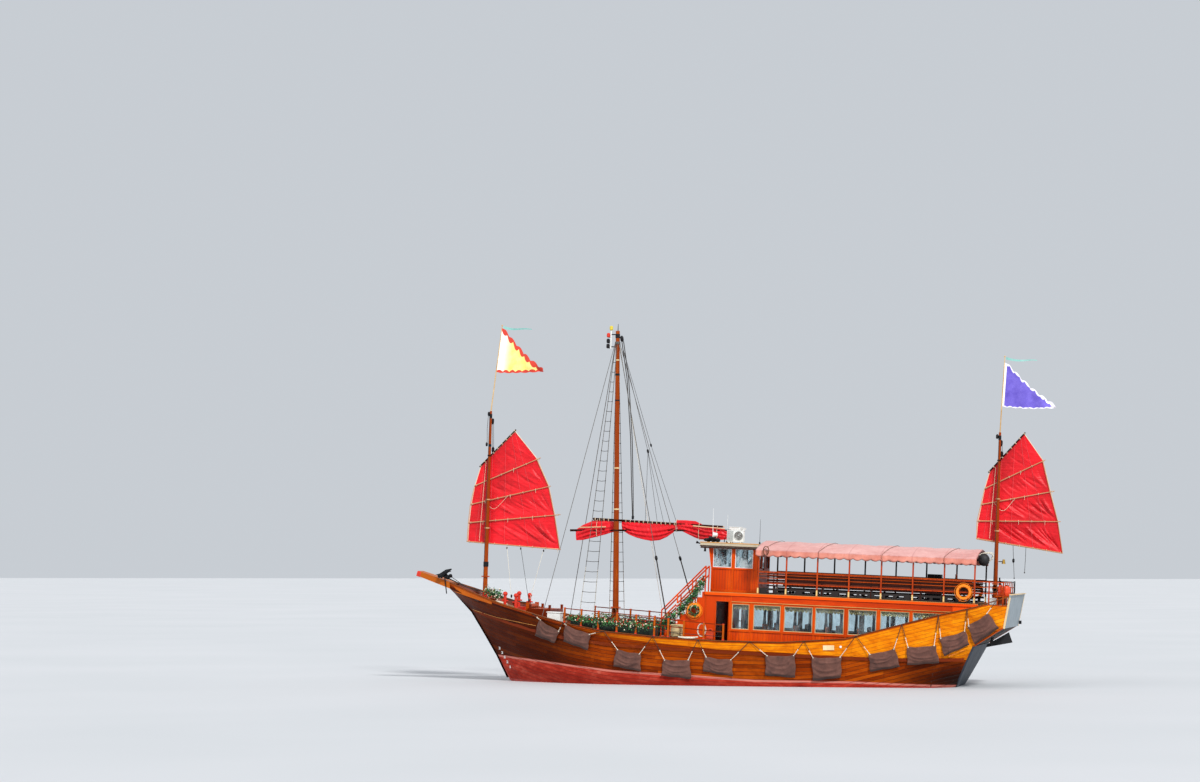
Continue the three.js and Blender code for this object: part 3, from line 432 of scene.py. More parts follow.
GRAINS = {"X": (0.06, 1, 1), "Y": (1, 0.06, 1), "Z": (1, 1, 0.06)}


def evenly(tones, low, high):
    """Colour stops spread evenly from low to high; the tones are written in one line, dark to light."""
    tones = tones.split()
    return [(lerp(low, high, i / (len(tones) - 1)), tone) for i, tone in enumerate(tones)]


def timber(name, tones, grain="X", roughness=(0.3, 0.5), coat=0.1, boards=None, wear=0.25):
    """Varnished or bare wood; boards is (axis, width in metres)."""
    finish = Finish(name, coat=coat, specular=0.1)
    broad = finish.noise(1.1, 3, stretch=GRAINS[grain])
    fine = finish.noise(26, 5, 0.65, stretch=GRAINS[grain], distortion=0.4)
    shifted = finish.shaded(finish.blend(fine, broad, 0.45), 0.55)
    colour = finish.ramp(shifted, evenly(tones, 0.22, 0.78))
    if boards:
        seam = finish.seam(*boards, 0.465, 0.495)
        colour = finish.tint(colour, seam, 0.65, "#1c0d06")
        finish.bump(finish.less(1.0, seam), 0.006)
    stain = finish.steps(finish.noise(0.9, 6, 0.7), 0.52, 0.75)
    finish.colour(finish.tint(colour, stain, wear, tones.split()[0]))
    finish.rough(fine, *roughness)
    finish.bump(fine, 0.0025, 0.5)
    return finish.material


def paint(name, colour, dirt="#2a2119", roughness=0.45, wear=0.35, metallic=0.0):
    """Painted or enamelled surface with stains and a little unevenness."""
    finish = Finish(name, roughness, metallic)
    patch = finish.noise(2.2, 6, 0.65)
    speck = finish.noise(38, 3, 0.6)
    tone = finish.tint(colour, finish.steps(patch, 0.45, 0.8), wear, dirt)
    finish.colour(finish.tint(tone, finish.steps(speck, 0.6, 0.8), wear * 0.6, dirt))
    finish.rough(patch, max(roughness - 0.12, 0.05), min(roughness + 0.18, 1))
    finish.bump(speck, 0.0012, 0.5)
    return finish.material


def cloth(name, tones, thread=95.0, folds=0.012):
    """Woven cloth with a fine weave, soft folds and faded patches."""
    finish = Finish(name, 0.85, sheen=0.3)
    faded = finish.blend(finish.noise(9, 4, 0.6), finish.noise(0.8, 5, 0.6), 0.3)
    finish.colour(finish.ramp(finish.shaded(faded, 0.5), evenly(tones, 0.28, 0.72)))
    finish.bump(finish.weave(thread), 0.0012, 0.35)
    finish.bump(finish.noise(2, 4, 0.5, distortion=0.6), folds, 0.7)
    return finish.material


def cordage(name, tones):
    """Twisted rope."""
    finish = Finish(name, 0.9)
    strand = finish.waves(60, "DIAGONAL", 1.0)
    finish.colour(finish.ramp(finish.blend(strand, finish.noise(6), 0.4), evenly(tones, 0.25, 0.7)))
    finish.bump(strand, 0.004)
    return finish.material


cabin_wood = timber("cabin_varnish", "#c43a00 #ee5a00 #fc6e00 #ff9010", "Z", (0.28, 0.45), 0.08, wear=0.15)
fascia_wood = timber("fascia_varnish", "#b63200 #e44800 #f65600 #fb7208", "X", (0.28, 0.45), 0.08, wear=0.15)
rail_wood = timber("rail_varnish", "#621c00 #983602 #ba4c06 #d26812", "X", (0.3, 0.5), 0.06)
wale_wood = timber("wale_varnish", "#6a2200 #984002 #b45406 #c86a12", "X", (0.35, 0.55), 0.04)
post_wood = timber("post_varnish", "#8a2600 #c03c00 #d84e00 #ea6a0a", "Z", (0.3, 0.45), 0.06)
mast_wood = timber("mast_varnish", "#8a3400 #c45a00 #e87400 #fa9410", "Z", (0.3, 0.5), 0.08)
deck_wood = timber("deck_planks", "#4d3524 #7a583c #9b7852 #b4936c", "X", (0.5, 0.8), 0.0, ("Y", 0.14), 0.5)
cap_wood = timber("cap_wood", "#7a3c12 #a85e20 #c88238 #dca058", "X", (0.4, 0.65), 0.0, wear=0.4)
bench_wood = timber("bench_wood", "#35140c #5f2716 #843e26 #a05a3c", "X", (0.35, 0.6), 0.05)
band_wood = timber("band_varnish", "#a85208 #d87c0c #ee9412 #f9b028", "X", (0.3, 0.5), 0.1)
bamboo_wood = timber("bamboo", "#8a6a45 #b8925f #d8b98a #e9d3ac", "X", (0.4, 0.6), 0.05)
bow_orange = timber("bow_orange", "#9a3c02 #c85c02 #e27204 #f08c14", "X", (0.35, 0.55), 0.05)
corner_cream = timber("corner_cream", "#b08c58 #cfb080 #e2c89c #eedab4", "Z", (0.4, 0.6), 0.05)
moulding_tan = timber("moulding_tan", "#8a5224 #b87a3c #d09a58 #e0b47a", "X", (0.4, 0.6), 0.1, wear=0.3)
frame_cream = timber("frame_cream", "#8e6e44 #b29260 #c8aa7a #dac298", "X", (0.4, 0.6), 0.05)
yard_wood = timber("yard_wood", "#240c04 #4c1a08 #7a3014", "X", (0.4, 0.65), 0.05)
batten_wood = timber("batten_wood", "#b98760 #d9ad84 #ecd0ae", "X", (0.45, 0.7), 0.1, wear=0.15)
rattan = timber("rattan", "#8a7550 #b39c70 #d6c294 #e6d8b4", "Z", (0.6, 0.8), 0.0, wear=0.3)
transom_paint = paint("transom_paint", "#8b979e", "#4c565c", 0.5)
lower_transom_paint = paint("lower_transom_paint", "#2c3643", "#11161c", 0.6, 0.5)
iron_black = paint("iron_black", "#15161a", "#3a2a20", 0.55, 0.4, metallic=0.6)
tar_black = paint("tar_black", "#101114", "#2c2926", 0.6, 0.4)
roof_paint = paint("roof_paint", "#b9aa90", "#6f624e", 0.55)
enamel = paint("white_enamel", "#e4e4e0", "#8d8a80", 0.35, 0.25)
signal_red = paint("signal_red", "#cc2808", "#4a0f08", 0.5)
ring_orange = paint("ring_orange", "#f5860f", "#c05a0a", 0.5, 0.3)
bronze = paint("bronze", "#b08a3c", "#4d5a3a", 0.35, 0.4, metallic=0.9)
dark_gap = paint("dark_gap", "#32120a", "#160a06", 0.8)
grille_grey = paint("grille_grey", "#b9bcb8", "#6b6a62", 0.4, 0.3, metallic=0.3)
can_orange = paint("can_orange", "#e2481a", "#7a1f0c", 0.4, 0.2)
flower_cream = paint("flower_cream", "#e9dcc0", "#c9a98a", 0.7, 0.3)
planter_green = paint("planter_green", "#1c2b20", "#0c120e", 0.6)
lamp_yellow = paint("lamp_yellow", "#d9c23a", "#6a5a20", 0.4, 0.3)
# Near black, used as painted shade inside the saloon and under the benches.
painted_shade_dark = paint("painted_shade_dark", "#180a06", "#0a0605", 0.7, 0.3)
hem_cream = cloth("hem_cream", "#c98f6e #e6c3a0 #f6e4cc", 140, 0.003)
seam_tape = cloth("seam_tape", "#d0303a #e85a5e", 140, 0.002)
streamer_cloth = cloth("streamer_cloth", "#5f9f98 #86bfb6 #a5d2ca", folds=0.002)
lace_cloth = cloth("lace_cloth", "#9c7f48 #cbab6c #e6cf98", 140, 0.004)
curtain_cloth = cloth("curtain_cloth", "#0e1420 #182235 #24324a", 90, 0.006)
rope_black = cordage("rope_black", "#14110f #3a332d")
rope_pale = cordage("rope_pale", "#b9ad95 #efe8d6")
rope_stay = cordage("rope_stay", "#3a3531 #6a645e")
rope_brown = cordage("rope_brown", "#4a2410 #7d4a28")
lashing_cream = cordage("lashing_cream", "#b79a76 #ead8bd")


def window_glass(name, dust_and_reflection):
    """Clear cabin glass with a pale film in patches: dust on the cabin glass, and mostly a painted reflection
    on the wheelhouse panes; the second argument is how much the film hides.
    """
    finish = Finish(name)
    finish.shader.inputs["IOR"].default_value = 1.3
    patches = finish.steps(finish.noise(1.7, 5, 0.65, stretch=(1, 1, 0.5), distortion=1.2), 0.42, 0.6)
    film = finish.times(patches, dust_and_reflection)
    finish.links.new(finish.less(1.0, film), finish.shader.inputs["Transmission Weight"])
    finish.colour(finish.mix(film, "#dcebf0", "#a4aaa8"))
    finish.rough(patches, 0.0, 0.06)
    return finish.material


glass = window_glass("cabin_glass", 0.08)
# The wheelhouse panes' heavy pale film is mostly a painted reflection.
wheelhouse_pane = window_glass("wheelhouse_pane", 0.7)

# The planked sides

SHEER = (
    (-14.15, 4.20), (-13.07, 3.87), (-12.32, 3.655), (-11.69, 3.475), (-11.0, 3.30), (-10.2, 3.13),
    (-9.0, 2.865), (-7.5, 2.56), (-5.5, 2.295), (-3.0, 2.175), (0, 2.135), (3.0, 2.215),
    (6.0, 2.53), (8.5, 3.29), (10.2, 3.81), (11.86, 4.25), (13.4, 4.81),
)
HALF_AT_SHEER = (
    (-14.15, 0.56), (-13.07, 1.08), (-12.32, 1.42), (-11.69, 1.70), (-11.0, 1.98), (-10.2, 2.23),
    (-9.0, 2.54), (-7.5, 2.88), (-5.5, 3.23), (-3.0, 3.43), (0, 3.50), (3.0, 3.50),
    (6.0, 3.50), (8.5, 3.50), (10.2, 3.46), (11.86, 3.40), (13.4, 3.30),
)
FOOT_LINE = (
    (-14.15, 3.77), (-13.07, 2.83), (-12.32, 1.74), (-11.69, 0.79), (-11.05, -0.35), (10.54, -0.35),
    (11.85, 2.44), (13.17, 3.33), (13.39, 4.70),
)
BAND_LINE = (
    (-14.15, 3.98), (-12.0, 3.40), (-9.0, 2.70), (-7.4, 2.38), (-5.7, 2.06), (-3.2, 1.88),
    (0, 1.71), (3.0, 1.72), (6.2, 1.65), (9.1, 1.66), (10.5, 1.76), (13.4, 1.9),
)
BOOT_LINE = (
    (-12.0, 0.82), (-11.67, 0.77), (-8.95, 0.68), (-5.06, 0.46), (-1.14, 0.45), (1.78, 0.39), (6.23, 0.56),
    (11.5, 0.6),
)
CAP_THICK = 0.05
STRAKE_HIGH = 0.172
STRAKE_PROUD = 0.016
SEAM_HALF = 0.008
STRAKE_STEP = 0.18
STRAKES = 28
SIDE_START, SIDE_STEP, SIDE_STEPS = -14.14, 0.02, 1377
SHORTEST_STRAKE = 0.3
PLANK_END = (0.02, 0.05, 0.1)


def level_tree(*names):
    """A search tree of those nodes in the level frame."""
    points, faces = [], []
    for name in names:
        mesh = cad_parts[name].data
        start = len(points)
        points += [FROM_FRAME @ v.co for v in mesh.vertices]
        faces += [tuple(start + i for i in p.vertices) for p in mesh.polygons]
    return BVHTree.FromPolygons(points, faces)


PLANKING = level_tree("hull", "bulwark")
DECKS = level_tree("hull", "fore_locker")


def side(x, z, out=0.0):
    """The place on the port planking at x and z, out metres proud of it; under the counter, its edge."""
    hit = PLANKING.ray_cast(Vector((x, -8, z)), Vector((0, 1, 0)))[0]
    if hit is None and x > 8:
        return PLANKING.find_nearest(Vector((x, -3.3, z)))[0] - Vector((0, out, 0))
    return Vector((x, (hit.y if hit else -0.1) - out, z))


def plank_run(shape, rng, upper, lower, start, end):
    """One strake between two lines, cut into boards of different tones."""
    count = max(int((end - start) / STRAKE_STEP), 2)
    xs = sorted([lerp(start, end, i / count) for i in range(count + 1)] + [end - gap for gap in PLANK_END])
    next_joint = start + rng.uniform(1.5, 6)
    tone = rng.random()
    rows = []
    for x in xs:
        top, low = upper(x), lower(x)
        bevel = min(SEAM_HALF, (top - low) / 3)
        rows.append([
            side(x, top, 0.002), side(x, top - bevel, STRAKE_PROUD), side(x, (top + low) / 2, STRAKE_PROUD),
            side(x, low + bevel, STRAKE_PROUD), side(x, low, 0.002),
        ])
    for a, b in zip(rows, rows[1:]):
        if a[0].x > next_joint:
            next_joint += rng.uniform(3.5, 7)
            tone = rng.random()
        shape.grid([a[:2], b[:2]], 1)
        shape.grid([a[1:4], b[1:4]], 0, tone)
        shape.grid([a[3:], b[3:]], 1)


def side_planks():
    shape = Shape()
    rng = random.Random(7)

    def sheer(x):
        return between(SHEER, x) - CAP_THICK - 0.002

    def foot(x):
        return between(FOOT_LINE, x)

    for k in range(STRAKES):
        def upper(x, k=k):
            return sheer(x) - k * STRAKE_HIGH

        def lower(x, k=k):
            return max(sheer(x) - (k + 1) * STRAKE_HIGH, foot(x))

        xs = [SIDE_START + i * SIDE_STEP for i in range(SIDE_STEPS)]
        inside = [x for x in xs if upper(x) > foot(x) + 0.012]
        runs = []
        for x in inside:
            if runs and x - runs[-1][1] < 1.5 * SIDE_STEP:
                runs[-1][1] = x
            else:
                runs.append([x, x])
        for start, end in runs:
            if end - start > SHORTEST_STRAKE:
                plank_run(shape, rng, upper, lower, start, end)
    return shape.make("side_planks", [hull_wood, caulk], both=True, marks={
        "band": lambda x, y, z: z - between(BAND_LINE, x),
        "boot": lambda x, y, z: z - between(BOOT_LINE, x),
        "under_rail": lambda x, y, z: between(SHEER, x) - z,
    })


def stern_shade(finish):
    """1 low on the stern, where a painted shade darkens the wood, and 0 elsewhere."""
    return finish.times(finish.steps(finish.axis("X"), 7.0, 11.3), finish.steps(finish.axis("Z"), 2.3, 0.7))


def plank_colours(finish, tone, blotch):
    """Golden varnish above the band line, dark varnish under it, and the red boot at the water; painted shade
    darkens the bow and the low stern.
    """
    dark = finish.ramp(tone, [(0.2, "#4a1400"), (0.42, "#7c2a00"), (0.58, "#9e4002"), (0.8, "#bc5808")])
    bow = finish.ramp(tone, [(0.2, "#561600"), (0.45, "#862c00"), (0.65, "#a64004"), (0.85, "#c0580a")])
    golden = finish.ramp(blotch, [(0.25, "#a24604"), (0.42, "#d06c04"), (0.58, "#e98808"), (0.78, "#f9ae20")])
    band = finish.mix(finish.steps(finish.axis("X"), -9.0, 0.5), bow, golden)
    stain = finish.steps(finish.noise(1.6, 6, 0.7, stretch=(0.5, 1, 1)), 0.5, 0.72)
    dark = finish.tint(dark, stain, 0.5, "#3c1200")
    # Darker forward of midships: partly a painted shade under the mats, partly wet wood from spray.
    dark = finish.tint(dark, finish.steps(finish.axis("X"), -5.5, -8.5), 0.75, "#2e0a00")
    # Painted shade: low on the stern the dark varnish goes near black.
    dark = finish.tint(dark, stern_shade(finish), 0.97, "#0c0301")
    return finish.mix(finish.steps(finish.mark("band"), -0.008, 0.008), dark, band)


def boot_colour(finish):
    tone = finish.ramp(finish.noise(2.4, 6, 0.7, stretch=(0.4, 1, 1)), [
        (0.3, "#861a0e"), (0.5, "#ac3222"), (0.62, "#c04a38"), (0.75, "#d0705c"),
    ])
    edge = finish.steps(finish.maths("ABSOLUTE", finish.maths("ADD", finish.mark("boot"), 0.05)), 0.07, 0.02)
    tone = finish.tint(tone, edge, 0.45, "#dba494")
    return finish.tint(tone, finish.steps(finish.axis("Z"), 0.45, -0.05), 0.5, "#5f1812")


def hull_finish():
    finish = Finish("hull_planks", specular=0.05)
    broad = finish.noise(0.9, 4, stretch=(0.35, 1, 1))
    fine = finish.noise(22, 5, 0.65, stretch=GRAINS["X"], distortion=0.5)
    tone = finish.shaded(finish.blend(fine, broad, 0.4), 0.3)
    mottle = finish.noise(2.6, 6, 0.62, stretch=(0.45, 1, 1), distortion=0.7)
    colour = plank_colours(finish, tone, finish.shaded(finish.blend(fine, mottle, 0.28), 0.1))
    drips = finish.steps(finish.noise(3.0, 5, 0.7, stretch=(2.5, 1, 0.12)), 0.55, 0.75)
    colour = finish.tint(colour, drips, 0.22, "#35150a")
    finish.colour(finish.mix(finish.steps(finish.mark("boot"), -0.01, 0.01), boot_colour(finish), colour))
    finish.rough(fine, 0.28, 0.5)
    finish.bump(fine, 0.002, 0.5)
    return finish.material


def seam_finish():
    """The grooves between planks: filled and varnished over in the golden band, dark under it."""
    finish = Finish("plank_seams", 0.6)
    grime = finish.noise(3, 5, 0.65, stretch=(0.5, 1, 1))
    dark = finish.ramp(grime, [(0.35, "#1c0b06"), (0.7, "#3e190b")])
    # Painted shade: low on the stern the seams go near black.
    dark = finish.tint(dark, stern_shade(finish), 0.9, "#0a0301")
    band = finish.ramp(grime, [(0.35, "#8a4208"), (0.55, "#c0680c"), (0.75, "#da8612")])
    forward = finish.ramp(grime, [(0.35, "#4a1c08"), (0.7, "#7c360c")])
    band = finish.mix(finish.steps(finish.axis("X"), -9.0, 0.5), forward, band)
    colour = finish.mix(finish.steps(finish.mark("band"), -0.008, 0.008), dark, band)
    boot = finish.ramp(grime, [(0.35, "#56160f"), (0.7, "#7c2a20")])
    finish.colour(finish.mix(finish.steps(finish.mark("boot"), -0.01, 0.01), boot, colour))
    finish.bump(grime, 0.002, 0.5)
    return finish.material


def body_finish():
    """The solid hull under the planks: boards on deck, red paint under water, and a painted shade, near
    black, under the counter.
    """
    finish = Finish("hull_body", roughness=0.7)
    grain = finish.noise(20, 5, 0.65, stretch=GRAINS["X"])
    deck = finish.ramp(grain, [(0.25, "#5c4029"), (0.5, "#8a6647"), (0.75, "#a98460")])
    seam = finish.seam("Y", 0.14, 0.46, 0.49)
    deck = finish.tint(deck, seam, 0.75, "#1d120b")
    deck = finish.tint(deck, finish.steps(finish.noise(0.7, 6, 0.7), 0.5, 0.75), 0.45, "#4a3a2c")
    below = finish.ramp(finish.noise(1.5, 6, 0.7), [(0.3, "#7d241c"), (0.55, "#a33a30"), (0.75, "#b9574a")])
    normal = finish.node("NewGeometry", "Normal", {})
    rise, aside = (finish.node("SeparateXYZ", axis, {"Vector": normal}) for axis in "ZY")
    dry = finish.steps(finish.axis("Z"), 0.3, 0.6)
    side_tone = finish.mix(dry, below, "#3c1606")
    gold = [(0.3, "#b05404"), (0.55, "#dc7c06"), (0.75, "#f29c18")]
    varnish = finish.ramp(finish.noise(2.6, 6, 0.62), gold)
    aft = finish.times(finish.steps(finish.axis("X"), 7.5, 8), finish.steps(finish.axis("Z"), 1.74, 1.78))
    side_tone = finish.mix(aft, side_tone, varnish)
    # Painted shade: dry faces that look neither sideways nor up, as under the counter, go near black.
    sideways = finish.steps(finish.maths("ABSOLUTE", aside), 0.3, 0.5)
    side_tone = finish.mix(finish.times(dry, finish.less(1.0, sideways)), side_tone, "#140a06")
    upward = finish.times(dry, finish.steps(rise, 0.6, 0.8))
    finish.colour(finish.mix(upward, side_tone, deck))
    finish.rough(grain, 0.55, 0.85)
    finish.bump(finish.less(1.0, finish.times(seam, upward)), 0.006)
    return finish.material


hull_wood = hull_finish()
caulk = seam_finish()
hull_body = body_finish()
side_planks()


def along_side(table, out):
    """Points on the planking along a line of x and z."""
    start, end = table[0][0], table[-1][0]
    count = int((end - start) / 0.35)
    return [side(x, between(table, x), out) for x in (lerp(start, end, i / count) for i in range(count + 1))]


def hull_trim():
    """Mouldings, stem, corner posts and the rub pieces that edge the planks."""
    trim = Shape()
    trim.tube(along_side(((-12.99, 2.91), (-11.5, 2.62), (-9.15, 2.34)), 0.012), 0.015, 6, 1)
    strake = []
    for i in range(15):
        x = lerp(-14.08, -11.62, i / 14)
        top = between(SHEER, x) - CAP_THICK - 0.012
        low = top - lerp(0.34, 0.16, i / 14)
        strake.append([side(x, top, 0.03), side(x, low, 0.03), side(x, low, 0.004), side(x, top, 0.004)])
    trim.loft(strake, 3)
    under_cap = tuple((x, z - CAP_THICK - 0.035) for x, z in SHEER[:-1]) + ((13.34, 4.68),)
    trim.tube(along_side(under_cap, 0.012), 0.026, 6, 0)
    stem = ((-14.16, 3.86), (-13.07, 2.80), (-12.32, 1.71), (-11.69, 0.76), (-11.1, -0.3))
    for (xa, za), (xb, zb) in zip(stem, stem[1:]):
        trim.bar((xa, 0, za), (xb, 0, zb), 0.25, 0.12, 0)
    foot = [side(11.86 - 0.47 * (2.45 - z), z + 0.01, 0.01) for z in (-0.3, 0.3, 0.9, 1.5, 2.0, 2.43)]
    trim.tube([p - Vector((0.02, 0, 0)) for p in foot], 0.05, 6, 2)
    under = [side(x, between(FOOT_LINE, x) + 0.02, 0.012) for x in (11.85, 12.3, 12.75, 13.15)]
    trim.tube(under, 0.04, 6, 0)
    corner = [Vector((13.2 + 0.234 * t, -lerp(3.215, 3.315, t), lerp(3.32, 4.74, t))) for t in (0, 0.5, 1)]
    trim.tube(corner, 0.05, 6, 4)
    trim.box(13.40, 13.55, -3.32, 0.002, 4.852, 4.89, 4)
    finishes = [rail_wood, moulding_tan, lower_transom_paint, bow_orange, corner_cream]
    trim.make("hull_trim", finishes, both=True)
    fitting = Shape()
    fitting.box(13.30, 13.42, 2.74, 2.90, 3.42, 3.58)
    fitting.make("transom_fitting", [iron_black], bevel=0.01)
    marks = Shape()
    for x, z in ((-11.51, 1.09), (-11.37, 0.88), (-11.24, 0.67), (-11.09, 0.44), (-10.94, 0.21)):
        for dz, wide in ((0.045, 0.10), (0, 0.04), (-0.045, 0.10)):
            marks.bar(side(x - wide / 2, z + dz, 0.02), side(x + wide / 2, z + dz, 0.02), 0.012, 0.03)
        marks.bar(side(x + 0.03, z - 0.05, 0.02), side(x + 0.03, z + 0.05, 0.02), 0.02, 0.012)
    marks.make("draught_marks", [enamel], both=True)
    plate = Shape()
    plate.bar(side(4.98, 2.04, 0.03), side(5.50, 2.07, 0.03), 0.02, 0.22)
    plate.ball(side(5.80, 2.12, 0.04), (0.06, 0.03, 0.06), 1, 8, 12)
    plate.make("side_plate", [corner_cream, enamel], bevel=0.006)


hull_trim()

# Sails

SAIL_Y = 0.2068
BATTEN_Y = 0.165
BELLY = 0.07
CLOTH_THICK = 0.004


def crossing(line, a, b):
    """Where the edge from a to b crosses the line through two points, as a share of the edge."""
    (x0, z0), (x1, z1) = line
    da = (a[0] - x0) * (z1 - z0) - (a[1] - z0) * (x1 - x0)
    db = (b[0] - x0) * (z1 - z0) - (b[1] - z0) * (x1 - x0)
    return da / (da - db) if da != db else 0.5


def along(points, share):
    """The place at that share of a line's length."""
    lengths = [math.dist(a, b) for a, b in zip(points, points[1:])]
    left = share * sum(lengths)
    for a, b, length in zip(points, points[1:], lengths):
        if left <= length or b is points[-1]:
            return mix_points(a, b, left / length)
        left -= length
    return points[-1]


# Each sail's edges and spars as (x, z), the yard first, and the ends of its mast
FORE_SAIL = {
    "luff": [(-11.38, 11.74), (-13.06, 9.98), (-13.34, 8.96), (-13.48, 8.05), (-13.55, 7.13), (-13.57, 6.21)],
    "leech": [(-11.38, 11.74), (-10.22, 10.46), (-9.54, 9.13), (-9.17, 7.70), (-8.83, 6.03)],
    "foot": [(-13.57, 6.21), (-12.5, 6.17), (-8.83, 6.03)],
    "spars": [((-13.12, 9.93), (-11.33, 11.83)), ((-13.34, 8.98), (-10.00, 10.48)),
              ((-13.52, 8.05), (-9.42, 9.11)), ((-13.58, 7.15), (-8.87, 7.73)),
              ((-13.62, 6.23), (-8.78, 6.02))],
    "mast": ((-12.5, 3.395), (-12.61, 12.7)),
}
MIZZEN_SAIL = {
    "luff": [(13.51, 12.38), (11.96, 10.55), (11.74, 9.71), (11.62, 8.96), (11.48, 8.17), (11.44, 7.37)],
    "leech": [(13.51, 12.38), (14.41, 11.17), (14.80, 9.75), (15.20, 8.33), (15.46, 6.86)],
    "foot": [(11.44, 7.37), (12.45, 7.24), (15.46, 6.86)],
    "spars": [((11.90, 10.50), (13.56, 12.44)), ((11.74, 9.74), (14.54, 11.19)),
              ((11.60, 8.99), (15.00, 9.74)), ((11.44, 8.21), (15.33, 8.33)),
              ((11.43, 7.39), (15.48, 6.87))],
    "mast": ((12.42, 4.34), (12.40, 12.4)),
}


def panel_edges(plan):
    """The luff and leech ends of each spar's line on the cloth, from the yard down."""
    edges = [(plan["luff"][1], plan["luff"][0])]
    for spar, low in zip(plan["spars"][1:], plan["luff"][2:]):
        right = plan["leech"][-1]
        for a, b in zip(plan["leech"], plan["leech"][1:]):
            share = crossing(spar, a, b)
            if 0 <= share <= 1:
                right = mix_points(a, b, share)
        edges.append((low, right))
    return edges


# Folds of each panel, from the yard down: how many, where the first and the last start along its top,
# how far each runs towards the leech, and how deep it is in metres
PANEL_FOLDS = ((4, 0.40, 0.82, 0.20, 0.03), (8, 0.25, 0.86, 0.26, 0.055), (10, 0.24, 0.88, 0.30, 0.08),
               (10, 0.20, 0.84, 0.36, 0.09))
# Sewn seams: where each starts on the yard and ends on the foot, as shares of their lengths
SEAMS = ((0.10, 0.08), (0.34, 0.24), (0.72, 0.40), (0.90, 0.66), (0.985, 0.86))


def fold_lines(edges, rng):
    """The line of each fold, with its width and depth."""
    lines = []
    for (la, ra), (lb, rb), (count, first, last, reach, deep) in zip(edges, edges[1:], PANEL_FOLDS):
        for i in range(count):
            start = lerp(first, last, (i + rng.uniform(-0.25, 0.25)) / (count - 1))
            end = min(start + reach * rng.uniform(0.75, 1.1), 0.97)
            low, high = rng.uniform(0.04, 0.22), rng.uniform(0.78, 0.97)
            points = []
            for share in (0, 0.25, 0.5, 0.75, 1):
                v = lerp(low, high, share ** 0.85)
                left, right = mix_points(la, lb, v), mix_points(ra, rb, v)
                points.append(mix_points(left, right, lerp(start, end, share)))
            width = rng.uniform(0.035, 0.075)
            lines.append((points, width, deep * rng.choice((-0.8, 1, 1)) * rng.uniform(0.6, 1.2)))
    return lines


def folded(x, z, lines):
    """How far the folds move the cloth at a place."""
    move = 0
    for points, width, deep in lines:
        if not points[0][0] - 0.2 < x < points[-1][0] + 0.2:
            continue
        near = 1e9
        for k, (a, b) in enumerate(zip(points, points[1:])):
            dx, dz = b[0] - a[0], b[1] - a[1]
            t = min(max(((x - a[0]) * dx + (z - a[1]) * dz) / (dx * dx + dz * dz), 0), 1)
            gap = math.hypot(x - a[0] - t * dx, z - a[1] - t * dz)
            if gap < near:
                near, share = gap, (k + t) / (len(points) - 1)
        if near < width * 4:
            move += deep * math.sin(math.pi * (0.06 + 0.88 * share)) ** 0.7 / (1 + (near / width) ** 2) ** 1.5
    return move


def thicken(obj, thick, node):
    """Gives a cloth its thickness; it stands for the named solid, which is hidden."""
    solid = obj.modifiers.new("weight", "SOLIDIFY")
    solid.thickness = thick
    solid.offset = 0
    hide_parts(node)


ACROSS, DOWN = 104, 30


def lug_cloth(name, plan, node, body, seed):
    """The sail's cloth: it bellies a little between the spars, and creases run down towards the clew."""
    edges = panel_edges(plan)
    lines = fold_lines(edges, random.Random(seed))
    rows, places = [], {}
    for k, ((la, ra), (lb, rb)) in enumerate(zip(edges, edges[1:])):
        for j in range(DOWN + (k == len(edges) - 2)):
            v = j / DOWN
            free = math.sin(math.pi * v) ** 0.6
            left, right = mix_points(la, lb, v), mix_points(ra, rb, v)
            row = []
            for i in range(ACROSS + 1):
                u = i / ACROSS
                x, z = mix_points(left, right, u)
                belly = BELLY * free * math.sin(math.pi * min(u * 1.15, 1))
                ripple = 0.004 * free * math.sin(23 * u + 3 * v + seed)
                y = SAIL_Y + max(belly + ripple + folded(x, z, lines) * free, -0.05 * free)
                row.append((x, y, z - 0.02 * math.sin(math.pi * u) * free))
                places[tuple(round(c, 5) for c in row[-1])] = (u, (k + v) / (len(edges) - 1))
            rows.append(row)
    shape = Shape()
    shape.grid(rows)

    def place(*point):
        return places[tuple(round(c, 5) for c in point)]

    obj = shape.make(name, [sail_cloth_finish], body, marks={
        "across": lambda *p: place(*p)[0],
        "down": lambda *p: place(*p)[1],
    })
    thicken(obj, CLOTH_THICK, node)
    gear_on_cloth(name, plan, edges, body, lines)


def gear_on_cloth(name, plan, edges, body, lines):
    """Pale hems on the luff, leech and foot, and the pale tape sewn over each seam."""
    trim = Shape()
    for key, radius in (("luff", 0.018), ("leech", 0.016), ("foot", 0.026)):
        edge = [along(plan[key], i / 40) for i in range(41)]
        trim.tube([(x, SAIL_Y - 0.004, z) for x, z in edge], radius, 6, 0)
    for start, end in SEAMS:
        path = []
        for i in range(61):
            x, z = mix_points(mix_points(*edges[0], start), mix_points(*edges[-1], end), i / 60)
            panel = None
            for upper_edge, lower_edge in zip(edges, edges[1:]):
                upper = crossing(upper_edge, (x, z + 9), (x, z - 9))
                lower = crossing(lower_edge, (x, z + 9), (x, z - 9))
                if upper <= 0.5 <= lower:
                    panel = (0.5 - upper) / (lower - upper)
            free = math.sin(math.pi * panel) ** 0.6 if panel else 0
            path.append((x, SAIL_Y + max(folded(x, z, lines) * free, -0.05 * free) - 0.006, z))
        trim.tube(path, 0.006, 4, 1)
    trim.make(f"{name}_hems", [hem_cream, seam_tape], body)


